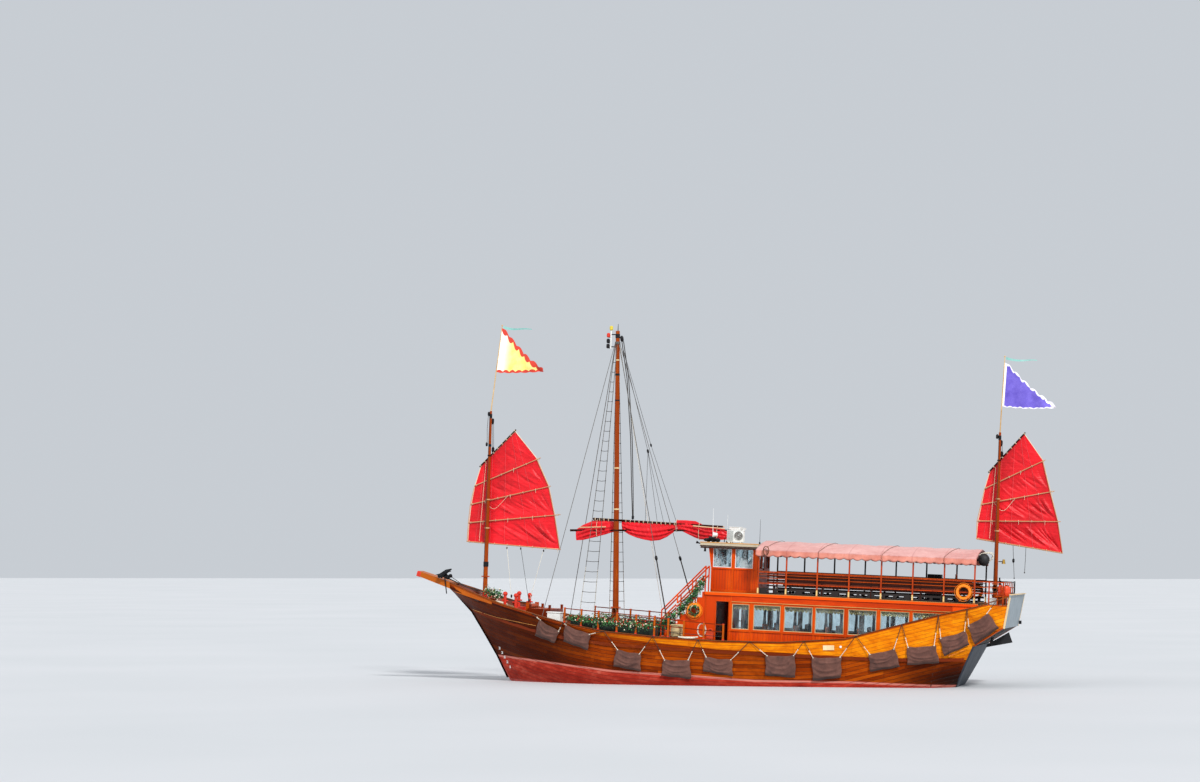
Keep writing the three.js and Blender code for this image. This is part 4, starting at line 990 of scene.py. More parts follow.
def sail_finish(name, wrinkle_depth):
    """Bright red cloth with a slight gloss, faded patches, small wrinkles and its weave."""
    finish = Finish(name, 0.42, sheen=0.15, specular=0.3)
    fade = finish.noise(0.6, 4, 0.6, stretch=(1, 1, 0.6))
    blotch = finish.noise(5, 5, 0.65)
    finish.colour(finish.ramp(finish.blend(blotch, fade, 0.3), [
        (0.3, "#a2000a"), (0.45, "#c80212"), (0.58, "#e00418"), (0.75, "#f01826"),
    ]))
    finish.rough(blotch, 0.34, 0.55)
    finish.bump(finish.weave(70), 0.001, 0.25)
    slant = (0, math.radians(-42), 0)
    wrinkles = finish.noise(2.6, 5, 0.5, stretch=(0.35, 1, 2.2), distortion=0.5, rotation=slant)
    finish.bump(wrinkles, wrinkle_depth, 0.75)
    return finish.material


def sail_gear(plan, body, prefix):
    """Lashings on the yard, ties on the battens, reef points, and the tackle at the masthead."""
    gear = Shape()
    for n, ((xa, za), (xb, zb)) in enumerate(plan["spars"]):
        count = max(int(math.dist((xa, za), (xb, zb)) / (0.62 if n else 0.31)), 2)
        axis = Vector((xb - xa, 0, zb - za)).normalized()
        cross = Vector((-axis.z, 0, axis.x))
        for i in range(count + 1):
            x, z = mix_points((xa, za), (xb, zb), 0.03 + 0.94 * i / count)
            for turn in (0,) if n else (-0.014, 0.014):
                middle = Vector((x, (BATTEN_Y + SAIL_Y) / 2, z)) + axis * turn
                gear.tube(circle(middle, (0, 0.062, 0), cross * 0.048, 10), 0.010, 5, 0, closed=True)
            if n and i % 2:
                reef_point = [(x, BATTEN_Y - 0.04, z - 0.03), (x + 0.01, BATTEN_Y - 0.05, z - 0.16)]
                gear.tube(reef_point, [0.010, 0.006], 5, 0)
    (mx, mz), (tx, tz) = plan["mast"]
    sling = mix_points(*plan["spars"][0], 0.36)
    head = tz - 0.45
    head_x = lerp(mx, tx, (head - mz) / (tz - mz)) + 0.06
    for dx, dy in ((-0.03, 0.17), (0.03, 0.19)):
        gear.tube([(head_x + dx, dy, head), (sling[0] + dx, dy, sling[1] + 0.25)], 0.011, 6, 1)
    for x, y, z, block_profile in (
        (sling[0], 0.18, sling[1], ((0.02, 0.03), (0.12, 0.07), (0.27, 0.07), (0.33, 0.02))),
        (head_x, 0.16, head, ((-0.2, 0.03), (-0.1, 0.065), (0.05, 0.065), (0.1, 0.02))),
    ):
        gear.turned(x, y, [(z + rise, radius) for rise, radius in block_profile], 10, 2)
    start = (plan["luff"][1][0] + 0.28, plan["luff"][1][1] + 0.22)
    end = (plan["foot"][0][0] + 0.62, plan["foot"][0][1] + 0.05)
    rope = [(start[0], BATTEN_Y - 0.05, start[1])]
    for t in (0.25, 0.5, 0.75, 1):
        x, z = mix_points(start, end, t)
        rope.append((x, BATTEN_Y - 0.055 - 0.02 * math.sin(math.pi * t), z))
    gear.tube(rope, 0.011, 6, 0)
    a, b, c = (mix_points(*plan["spars"][2], share) for share in (0.18, 0.30, 0.47))
    bight = (a, (lerp(a[0], b[0], 0.6), b[1] - 0.40), (b[0] + 0.12, b[1] - 0.44), c)
    path = smooth_path([(x, BATTEN_Y - 0.045, z) for x, z in bight], 8)
    free_rope(f"{prefix}_reef_line", path, 0.02, lashing_cream, body)
    gear.make(f"{prefix}_sail_ties", [lashing_cream, rope_black, iron_black], body)


sail_cloth_finish = sail_finish("sailcloth_red", 0.05)

lug_cloth("fore_sail_cloth", FORE_SAIL, "fore_sail", "fore_lugsail", 3)
lug_cloth("mizzen_sail_cloth", MIZZEN_SAIL, "mizzen_sail", "mizzen_lugsail", 5)
sail_gear(FORE_SAIL, "fore_lugsail", "fore")
sail_gear(MIZZEN_SAIL, "mizzen_lugsail", "mizzen")

# Furled mainsail: the cloth hangs from the yard in three swags over the boom

MAIN_Y = 0.3
YARD_LINE = ((-7.24, 7.591), (-0.76, 7.46))
SWAGS = (
    ((-8.05, 6.51), (-7.70, 6.54), (-7.14, 6.69), (-6.57, 6.86), (-6.11, 7.03)),
    ((-5.76, 7.10), (-5.41, 6.90), (-5.06, 6.77), (-4.65, 6.68), (-4.25, 6.63), (-3.85, 6.69), (-3.52, 6.85),
     (-3.21, 7.08), (-3.04, 7.24)),
    ((-3.00, 7.24), (-2.73, 7.15), (-2.44, 7.02), (-2.09, 6.87), (-1.83, 6.80), (-1.4, 6.81), (-0.9, 6.82),
     (-0.46, 6.86)),
)
SWAG_TOPS = (
    ((-8.10, 7.02), (-7.75, 7.27), (-7.18, 7.53), (-6.6, 7.52), (-6.11, 7.50)),
    ((-5.80, 7.52), (-5.0, 7.51), (-4.0, 7.49), (-3.04, 7.47)),
    ((-3.08, 7.69), (-2.60, 7.70), (-2.12, 7.68), (-1.66, 7.48), (-0.75, 7.39), (-0.44, 7.21)),
)


def furled_cloth():
    """Each swag is a sheet that folds back and forth as it hangs, so catenary folds run along it."""
    shape = Shape()
    rng = random.Random(11)
    count, down = 90, 44
    for low_line, top_line in zip(SWAGS, SWAG_TOPS):
        span = max(low_line[-1][0], top_line[-1][0]) - min(low_line[0][0], top_line[0][0])
        phase = rng.uniform(0, 6)
        for face in (-1, 1):
            rows = []
            for j in range(down + 1):
                v = j / down
                row = []
                for i in range(count + 1):
                    u = i / count
                    xl = lerp(low_line[0][0], low_line[-1][0], u)
                    xt = lerp(top_line[0][0], top_line[-1][0], u)
                    x = lerp(xt, xl, v)
                    z = lerp(between(top_line, xt), between(low_line, xl), v)
                    full = math.sin(math.pi * min(max(u, 0.02), 0.98)) ** 0.45
                    edge = math.sin(math.pi * v) ** 0.5
                    lay = v ** 1.5 * (2.3 + 0.9 * full)
                    lay += 0.22 * math.sin(1.9 * u * span + phase) * (1 - 0.4 * v)
                    deep = (0.3 + 0.7 * edge) * (0.7 + 0.3 * math.sin(3.1 * u * span + 2 * phase))
                    fold = 0.05 * full * math.sin(2 * math.pi * lay + face) * deep
                    fold += 0.012 * math.sin(11 * x + 5 * v + phase) + 0.008 * math.sin(29 * x - 9 * v)
                    belly = 0.066 * full * math.sin(math.pi * min(v * 1.05, 1)) ** 0.6
                    y = face * (belly + 0.012) * edge + fold * edge * 0.9 + 0.004 * face
                    row.append((x, MAIN_Y + min(max(y, -0.125), 0.125), z))
                rows.append(row)
            shape.grid(rows, flip=face > 0)
    obj = shape.make("furled_mainsail_cloth", [sail_finish("sailcloth_furled", 0.02)], "furled_mainsail")
    thicken(obj, CLOTH_THICK, "main_sail")


def furled_gear():
    """Lashings on the yard, gaskets round the bundle, and the battens that lie in it."""
    ties = Shape()
    for i in range(19):
        x = lerp(-7.12, -3.15, i / 18)
        z = between(YARD_LINE, x)
        if abs(x + 6.0) < 0.26:
            continue
        for dx in (-0.012, 0.012):
            loop = circle((x + dx, MAIN_Y, z - 0.012), (0, 0.072, 0), (0, 0, 0.078), 12)
            ties.tube(loop, 0.009, 5, closed=True)
    for x, z0, z1 in ((-3.03, 7.13, 7.72), (-7.0, 6.70, 7.62), (-1.9, 6.78, 7.62), (-1.0, 6.80, 7.50)):
        middle = (x, MAIN_Y, (z0 + z1) / 2)
        ties.tube(circle(middle, (0, 0, (z0 - z1) / 2), (0.03, 0.112, 0), 20), 0.012, 6, closed=True)
    ties.make("furled_mainsail_ties", [lashing_cream], "furled_mainsail")
    sticks = Shape()
    for a, b, radius in (
        ((-7.9, 0.17, 7.14), (-6.55, 0.17, 7.22), 0.03), ((-7.85, 0.43, 7.0), (-6.3, 0.43, 7.14), 0.028),
        ((-2.6, 0.42, 7.52), (-0.72, 0.42, 7.46), 0.035), ((-2.2, 0.17, 7.44), (-0.62, 0.17, 7.36), 0.03),
        ((-5.6, 0.43, 7.16), (-1.2, 0.43, 7.30), 0.028),
    ):
        sticks.tube([a, b], [radius, radius * 0.8], 10)
    sticks.make("furled_battens", [batten_wood], "furled_mainsail")


furled_cloth()
furled_gear()

# Flags and streamers


def flag_finish(name, field, border, border_wide, scallops, hoist):
    """A flag with a scalloped border and a white hoist that ends between the two given distances."""
    finish = Finish(name, 0.7, sheen=0.2)
    wave = finish.maths("ABSOLUTE", finish.maths("SINE", finish.times(finish.mark("along_edge"), scallops)))
    reach = finish.maths("MULTIPLY_ADD", wave, border_wide * 0.6, border_wide * 0.4)
    inside = finish.steps(finish.less(finish.mark("edge"), reach), -0.006, 0.006)
    ground = finish.ramp(finish.noise(2.5), evenly(field, 0.3, 0.7))
    ground = finish.mix(finish.steps(finish.mark("along_edge"), *hoist), ground, "#fbf8f0")
    finish.colour(finish.mix(inside, border, ground))
    finish.bump(finish.weave(110), 0.0008, 0.3)
    return finish.material


def flag_cloth(name, corners, node, finish, phase):
    """A three-cornered flag that blows aft, with teeth on its upper and lower edges."""
    top, low, fly = (Vector((x, 0, z)) for x, z in corners)
    length = (fly - (top + low) / 2).length
    shape = Shape()
    rows, places = [], {}
    for i in range(47):
        u = i / 46
        upper, lower = top.lerp(fly, u), low.lerp(fly, u)
        teeth = abs(math.sin(7 * u * length)) * math.sin(math.pi * min(u * 4, 0.5))
        row = []
        for j in range(25):
            v = j / 24
            p = upper.lerp(lower, v)
            wave = 0.13 * u * math.sin(7.5 * u + 1.6 * v + phase) + 0.05 * u * math.sin(17 * u - 2.5 * v)
            droop = -0.05 * math.sin(math.pi * u) * v
            tooth = teeth * (0.13 * max(0, 1 - 5 * v) - 0.04 * max(0, 5 * v - 4))
            hollow = 0.16 * math.sin(math.pi * u) * (1 - v)
            row.append((p.x, wave, p.z + droop + tooth - hollow))
            high = (upper - lower).length
            places[row[-1]] = (min(high * v, 1.7 * high * (1 - v)), u * length)
        rows.append(row)
    shape.grid(rows)
    obj = shape.make(name, [finish], marks={
        "edge": lambda *p: places[p][0],
        "along_edge": lambda *p: places[p][1],
    })
    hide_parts(node)


def flag_staff(name, foot, head, phase):
    """The pole of a flag, with a thin streamer over it."""
    foot, head = (Vector((x, 0, z)) for x, z in (foot, head))
    pole = Shape()
    pole.tube([foot.lerp(head, t) for t in (0, 0.5, 1)], [0.03, 0.026, 0.02], 10)
    pole.ball(head + Vector((0, 0, 0.02)), 0.04, 0, 6, 10)
    pole.make(f"{name}_staff", [bamboo_wood])
    streamer = Shape()
    rows = []
    for i in range(41):
        u = i / 40
        x, y = head.x + 0.06 + 1.45 * u, 0.08 * u * math.sin(9 * u + phase)
        z = head.z - 0.16 * u - 0.05 * math.sin(5 * u)
        rows.append([(x, y, z), (x, y + 0.01, z - lerp(0.12, 0.04, u))])
    streamer.grid(rows)
    ribbon = streamer.make(f"{name}_streamer", [streamer_cloth])


for flag, corners, staff, finish, seed in (
    ("fore_flag", ((-12.24, 16.85), (-12.44, 14.64), (-10.05, 14.76)), ((-12.61, 12.7), (-12.23, 16.93)),
     flag_finish("flag_yellow_red", "#f3da62 #fbeb98", "#d0341f", 0.24, 9.0, (0.75, 0.1)), 2),
    ("mizzen_flag", ((12.52, 15.7), (12.44, 13.64), (14.96, 13.64)), ((12.4, 12.4), (12.51, 15.96)),
     flag_finish("flag_violet_white", "#5644b0 #7564cc", "#efeaf4", 0.09, 12.0, (0.12, 0.1)), 9),
):
    phase = random.Random(seed).uniform(0, 6)
    flag_cloth(f"{flag}_cloth", corners, flag, finish, phase)
    flag_staff(f"{flag}_cloth", *staff, phase)

# Awning

CANOPY_X = (1.45, 11.80)
POSTS_X = (1.60, 2.93, 4.40, 5.90, 7.40, 8.87, 10.32, 11.72)
CANOPY_PROFILE = ((-2.56, 6.43), (-1.93, 6.59), (-1.30, 6.73), (-0.65, 6.815), (0.0, 6.88))
CANOPY_EDGE = 2.565
SCALLOP = 0.42


def awning_finish():
    """Faded cloth with sewn strips across it, a stronger colour on its valances and a dark hem."""
    finish = Finish("awning_faded", 0.85, sheen=0.25)
    tone = finish.blend(finish.noise(3.2, 6, 0.65), finish.noise(0.55, 5, 0.6), 0.4)
    colour = finish.ramp(tone, [(0.3, "#b47068"), (0.45, "#c6867e"), (0.58, "#d29890"), (0.75, "#dfaea6")])
    drop = finish.ramp(tone, [(0.3, "#b05c4c"), (0.45, "#c67462"), (0.58, "#d68a78"), (0.75, "#e6a492")])
    colour = finish.mix(finish.steps(finish.mark("hem"), 0.02, 0.2), colour, drop)
    strips = finish.maths("FRACT", finish.times(finish.axis("X"), 0.68))
    seam = finish.steps(finish.maths("ABSOLUTE", finish.less(strips, 0.5)), 0.482, 0.495)
    colour = finish.tint(colour, seam, 0.5, "#a2504a")
    finish.colour(finish.tint(colour, finish.steps(finish.mark("hem"), 0.9, 0.97), 0.85, "#5a2a26"))
    finish.bump(finish.noise(3.0, 5, 0.55, stretch=(1.5, 1, 1), distortion=0.8), 0.02, 0.6)
    finish.bump(finish.weave(80, "XY"), 0.001, 0.3)
    return finish.material


def valance(x, hang, sign, down, slow, quick):
    """A place on the valance; slow and quick are the (depth, pitch) of its flutter."""
    flutter = (slow[0] * math.sin(slow[1] * x + 2 * down) + quick[0] * math.sin(quick[1] * x)) * down
    return (x, sign * (CANOPY_EDGE - 0.02 * (1 - down) - flutter * 0.6), CANOPY_PROFILE[0][1] - hang * down)


def awning_cloth():
    """One curved cloth that sags between its bows, with a valance that hangs in scallops on both sides."""
    arch = list(CANOPY_PROFILE) + [(-y, z) for y, z in reversed(CANOPY_PROFILE[:-1])]
    profile = [along(arch, i / 24) for i in range(25)]
    rows, hems = [], {}
    for i in range(169):
        x = lerp(CANOPY_X[0] + 0.01, CANOPY_X[1] - 0.01, i / 168)
        bay = min(abs(x - bow) for bow in POSTS_X)
        sag = 0.035 * min(bay / 0.7, 1) ** 1.5
        hang = 0.24 + 0.085 * abs(math.sin(math.pi * (x - CANOPY_X[0]) / SCALLOP))
        row = []
        for down in (1.0, 0.66, 0.33):
            row.append(valance(x, hang, -1, down, (0.05, 6.3), (0.03, 14)))
            hems[row[-1]] = down
        for y, z in profile:
            ripple = 0.006 * math.sin(11 * x + 3 * y) + 0.005 * math.sin(23 * x - 5 * y)
            row.append((x, y, z - sag * (1 - abs(y) / 4) + ripple * min(bay / 0.3, 1)))
            hems[row[-1]] = 0
        for down in (0.33, 0.66, 1.0):
            row.append(valance(x, hang, 1, down, (0.028, 5.7), (0.018, 13)))
            hems[row[-1]] = down
        rows.append(row)
    shape = Shape()
    shape.grid(rows)
    obj = shape.make("awning_cloth", [awning_finish()], marks={"hem": lambda *p: hems[p]})
    thicken(obj, 0.006, "canopy")
    ropes = Shape()
    for a, b in ((1.85, 2.6), (4.45, 5.15), (7.42, 8.1), (10.30, 11.0)):
        line = [(a + 0.02, -2.60, 6.18), (a, -2.60, 6.36)]
        for i in range(17):
            y, z = along(arch, i / 16)
            line.append((lerp(a, b, i / 16), y, z + 0.02))
        ropes.tube(line + [(b, 2.60, 6.36), (b, 2.60, 6.18)], 0.009, 6)
    ropes.make("awning_ropes", [rope_brown])
    hank = hung_coil((1.97, -2.58, 6.40), 0.21, 5, 0.024, first=0)
    free_rope("awning_hank", hank, 0.024, rope_brown)


awning_cloth()

# Fender mats and their ropes

MATS = (
    ((-8.92, 2.66), (-7.82, 2.17), (-8.15, 1.57), (-9.20, 1.86)),
    ((-7.54, 2.49), (-6.21, 2.12), (-6.38, 1.33), (-7.64, 1.67)),
    ((-4.89, 1.47), (-3.68, 1.33), (-3.68, 0.48), (-5.06, 0.65)),
    ((-2.56, 1.11), (-1.30, 1.18), (-1.20, 0.26), (-2.65, 0.34)),
    ((-0.56, 1.36), (0.74, 1.29), (0.79, 0.50), (-0.65, 0.66)),
    ((2.33, 1.57), (3.70, 1.64), (3.74, 0.59), (2.33, 0.63)),
    ((4.48, 1.59), (5.86, 1.68), (5.86, 0.72), (4.56, 0.48)),
    ((7.12, 1.88), (8.33, 2.18), (8.56, 1.35), (7.20, 1.06)),
    ((8.86, 2.29), (10.16, 2.43), (10.34, 1.62), (8.90, 1.44)),
    ((10.33, 2.77), (11.50, 3.15), (11.65, 2.50), (10.56, 1.95)),
    ((11.57, 3.39), (12.50, 4.00), (12.99, 3.33), (11.90, 2.53)),
)
MAT_STEPS = 28


def mat_out(x, z):
    """How far out the mats hang: clear of the planks and the wale."""
    return max(-side(x, z).y, -side(x, min(z + 0.1, between(SHEER, x) - 0.06)).y) + 0.105


def mat_finish():
    """Heavy dark canvas with pale scuffs on its folds."""
    finish = Finish("mat_canvas", 0.95, sheen=0.1)
    colour = finish.ramp(finish.noise(2.2, 6, 0.7), [(0.3, "#472c25"), (0.5, "#5e3b31"), (0.8, "#785044")])
    colour = finish.tint(colour, finish.steps(finish.noise(11, 5, 0.7), 0.55, 0.8), 0.12, "#8d7a70")
    # Darker along the lower hem: partly a painted shade, partly damp canvas.
    finish.colour(finish.tint(colour, finish.steps(finish.mark("down"), 0.84, 0.93), 0.7, "#170e0c"))
    finish.bump(finish.weave(60), 0.0015, 0.4)
    finish.bump(finish.noise(3, 3, 0.5, distortion=1.2), 0.02, 0.6)
    return finish.material


def mat_rows(corners, rng):
    """Points of a port mat, with swags across it and creases from its two upper corners."""
    top_a, top_b, low_b, low_a = corners
    phase = rng.uniform(0, 6)
    swags = [(0.12 + 0.24 * i + rng.uniform(-0.04, 0.04), rng.uniform(0.16, 0.34), rng.uniform(0.4, 0.6),
              rng.uniform(0.03, 0.055)) for i in range(3)]
    rows, downs = [], {}
    for j in range(MAT_STEPS + 1):
        v = j / MAT_STEPS
        row = []
        for i in range(MAT_STEPS + 1):
            u = i / MAT_STEPS
            x, z = mix_points(mix_points(top_a, top_b, u), mix_points(low_a, low_b, u), v)
            z -= 0.05 * math.sin(math.pi * u) * (1 - v)
            edge = math.sin(math.pi * u) * math.sin(math.pi * min(v * 1.1, 1))
            out = 0.03 * edge + 0.018 * edge * math.sin(9 * u + 4 * v + phase)
            for start, drop, low_at, deep in swags:
                lowest = start + drop * max(1 - ((u - low_at) / low_at) ** 2, -0.2)
                out += deep * math.sin(math.pi * u) ** 0.5 * math.exp(-((v - lowest) / 0.055) ** 2)
            for corner in (0, 1):
                crease = abs(u - lerp(corner, 0.5, 0.8 * v))
                out += 0.03 * (1 - v) * math.exp(-(crease / 0.06) ** 2)
            x += 0.02 * math.sin(9 * v + phase) * (1 if u in (0, 1) else 0.4)
            row.append((x, -mat_out(x, z) - out, z + 0.012 * math.sin(11 * u + phase)))
            downs[row[-1]] = v
        rows.append(row)
    return rows, downs


def mat_rope(ropes, x, z, head_x):
    """One rope from the rail to a mat's corner: black above, pale below."""
    lean = 0.06 if x > head_x else -0.06
    head = Vector((head_x, -between(HALF_AT_SHEER, head_x) - 0.06, between(SHEER, head_x) - 0.02))
    end = Vector((x + lean, -mat_out(x, z - 0.06) - 0.02, z - 0.03))
    path = [head.lerp(end, i / 10) for i in range(11)]
    for p in path:
        p.y = min(p.y, side(p.x, min(p.z, between(SHEER, p.x) - 0.06)).y - 0.03)
    ropes.tube(path[:7], 0.015, 6, 0)
    ropes.tube(path[6:], 0.016, 6, 1)
    ropes.ball(path[6], 0.03, 1, 5, 8)
    ropes.ball(end, 0.032, 1, 5, 8)


def fender_mats():
    rng = random.Random(21)
    ropes = Shape()
    for k, corners in enumerate(MATS):
        top_a, top_b = corners[:2]
        rows, downs = mat_rows(corners, rng)
        for name, sign in (("port", 1), ("starboard", -1)):
            shape = Shape()
            shape.grid([[(x, y * sign, z) for x, y, z in row] for row in rows], flip=sign < 0)
            obj = shape.make(f"mat_{name}_{k + 1}", [mat_cloth], marks={
                "down": lambda x, y, z, sign=sign, downs=downs: downs[(x, y * sign, z)],
            })
            thicken(obj, 0.012, f"fender_mats_{name}")
        before = MATS[k - 1][1][0] if k else top_a[0] - 0.8
        after = MATS[k + 1][0][0] if k + 1 < len(MATS) else top_b[0] + 0.7
        mat_rope(ropes, *top_a, (before + top_a[0]) / 2)
        mat_rope(ropes, *top_b, (after + top_b[0]) / 2)
    head_line = []
    for i in range(90):
        x = lerp(-9.25, 13.0, i / 89)
        out = between(HALF_AT_SHEER, x) + 0.055 + 0.008 * math.sin(5 * x)
        head_line.append((x, -out, between(SHEER, x) - 0.025))
    ropes.tube(head_line, 0.010, 6, 2)
    ropes.make("mat_ropes", [rope_black, rope_pale, rope_brown], both=True)


mat_cloth = mat_finish()
fender_mats()

# Saloon: window frames, lace, curtains, mouldings

WINDOWS = ((0.41, 1.23), (1.44, 2.73), (2.90, 4.25), (4.37, 5.73), (5.92, 7.25), (7.42, 8.77), (8.92, 10.32))
SILL, HEAD = 2.66, 3.84
SALOON_SIDE = 2.40
WALL_FOOT, WALL_TOP = 1.93, 3.955
LACE_DROP = 0.24
UPPER_DECK = 4.345


def frame_bars(shape, x0, x1, z0, z1, y, wide, deep, slot=0):
    """Four bars round an opening in a wall that faces port."""
    shape.box(x0, x1, y - deep, y, z1 - wide, z1, slot)
    shape.box(x0, x1, y - deep, y, z0, z0 + wide, slot)
    shape.box(x0, x0 + wide, y - deep, y, z0 + wide, z1 - wide, slot)
    shape.box(x1 - wide, x1, y - deep, y, z0 + wide, z1 - wide, slot)


def steps_along(start, end, pitch):
    """Places from start until the end, one pitch apart."""
    places = []
    while start < end:
        places.append(start)
        start += pitch
    return places


def saloon_dressing():
    trim = Shape()
    wall = -SALOON_SIDE - 0.001
    for x0, x1 in WINDOWS:
        frame_bars(trim, x0, x1, SILL, HEAD, -SALOON_SIDE + 0.045, 0.032, 0.05, 1)
        frame_bars(trim, x0 - 0.045, x1 + 0.045, SILL - 0.045, HEAD + 0.045, wall, 0.045, 0.018, 0)
    for x in (0.30, 1.335, 2.815, 4.31, 5.825, 7.335, 8.845, 10.42):
        trim.box(x - 0.04, x + 0.04, -SALOON_SIDE - 0.03, wall, WALL_FOOT, WALL_TOP, 0)
    trim.box(0.24, 10.6, -SALOON_SIDE - 0.05, wall, SILL - 0.10, SILL - 0.055, 0)
    trim.box(0.38, 10.72, -SALOON_SIDE - 0.055, wall, 3.925, WALL_TOP, 2)
    for x0, x1, z0, z1 in (
        (-0.40, -0.36, WALL_FOOT, 3.95), (0.24, 0.28, WALL_FOOT, 3.95), (-0.40, 0.28, 3.93, 3.97),
    ):
        trim.box(x0, x1, -SALOON_SIDE - 0.03, wall, z0, z1, 0)
    trim.box(-0.92, 11.92, -2.478, -2.452, 4.22, UPPER_DECK, 3)
    trim.box(-0.92, 11.92, -2.49, -2.44, 4.342, 4.365, 2)
    trim.box(10.745, 11.88, -2.43, -2.402, 3.70, 4.238, 3)
    for x in (-0.86, 0.36):
        trim.box(x - 0.03, x + 0.03, -SALOON_SIDE - 0.022, wall, 1.95, 4.22, 0)
    finishes = [post_wood, frame_cream, moulding_tan, fascia_wood]
    trim.make("saloon_trim", finishes, smooth=False, bevel=0.004, both=True)
    boards = Shape()
    for x in steps_along(-0.82, 10.6, 0.145):
        if not -0.42 < x < 0.30:
            low = max(between(SHEER, x) - 0.5, WALL_FOOT) if x > 6 else WALL_FOOT
            boards.box(x, x + 0.006, -SALOON_SIDE - 0.004, -SALOON_SIDE, low, SILL - 0.1)
    boards.make("saloon_board_seams", [dark_gap], smooth=False, both=True)


def lace_strip(shape, x0, x1, y, rng):
    """A strip of lace with a scalloped lower edge over one window."""
    scallops = max(int((x1 - x0 + 0.1) / 0.17), 3)
    rows = []
    for v in (0, 1 / 3, 2 / 3, 1):
        row = []
        for i in range(scallops * 6 + 1):
            u = i / (scallops * 6)
            edge = LACE_DROP * (0.72 + 0.28 * abs(math.sin(math.pi * u * scallops)))
            wave = 0.012 * math.sin(2 * math.pi * u * scallops) * v
            row.append((lerp(x0, x1, u), y + wave, HEAD - 0.02 - edge * v))
        rows.append(row)
    shape.grid(rows, 0, rng.random())


def gathered_curtain(shape, x0, x1, y_side, rng):
    """A narrow curtain, drawn in at its waist."""
    rows = []
    for j in range(9):
        v = j / 8
        waist = 1 - 0.35 * math.sin(math.pi * min(v * 1.2, 1))
        z = lerp(HEAD - 0.03, SILL - 0.02, v)
        rows.append([((x0 + x1) / 2 + (i / 18 - 0.5) * (x1 - x0) * waist,
                      y_side * (2.25 + 0.022 * math.sin(math.pi * i / 3)), z) for i in range(19)])
    shape.grid(rows, 0, rng.random())


def window_cloth():
    rng = random.Random(31)
    for name, sign in (("port", -1), ("starboard", 1)):
        lace, curtain = Shape(), Shape()
        for x0, x1 in WINDOWS:
            lace_strip(lace, x0 + 0.05, x1 - 0.05, sign * 2.30, rng)
            gathered_curtain(curtain, x1 - 0.24, x1 - 0.05, sign, rng)
        obj = lace.make(f"window_lace_{name}", [lace_cloth])
        obj = curtain.make(f"window_curtains_{name}", [curtain_cloth])


def saloon_inside():
    """Tables and seats, seen only as dark forms through the glass."""
    inside = Shape()
    for x in (1.3, 2.8, 4.3, 5.8, 7.3, 8.8):
        inside.box(x - 0.45, x + 0.45, 0.9, 1.9, 2.62, 2.66, 0)
        inside.box(x - 0.05, x + 0.05, 1.35, 1.45, 1.92, 2.62, 0)
        for y in (-1.5, 1.5):
            inside.box(x + 0.5, x + 0.56, y - 0.5, y + 0.5, 2.3, 2.95, 1)
            inside.box(x + 0.3, x + 0.75, y - 0.5, y + 0.5, 2.28, 2.36, 1)
            for dx, dy in ((0.33, -0.46), (0.33, 0.42), (0.70, -0.46), (0.70, 0.42)):
                inside.box(x + dx, x + dx + 0.04, y + dy, y + dy + 0.04, 1.92 if x < 8 else 2.12, 2.28, 1)
    inside.make("saloon_furniture", [bench_wood, rail_wood], smooth=False, bevel=0.006)


saloon_dressing()
window_cloth()
saloon_inside()

# Wheelhouse: frames, mouldings, roof edge, cooling units, aerials, lamps

WHEEL_SIDE = ((-0.79, 0.11), (0.28, 1.14))
WHEEL_AFT = ((-1.36, -0.56), (0.56, 1.36))
WHEEL_FRONT = ((-1.36, -0.52), (-0.42, 0.42), (0.52, 1.36))
WHEEL_SILL, WHEEL_HEAD = 5.52, 6.42
WHEEL_WALL = -1.501
ROOF_HALF = 1.765
ROOF_TOP = 6.70


def raked(y, z):
    """A place on the wheelhouse's front, which leans forward above its sill."""
    return (-0.852 - 0.16 * (z - 5.5) / 0.98, y, z)


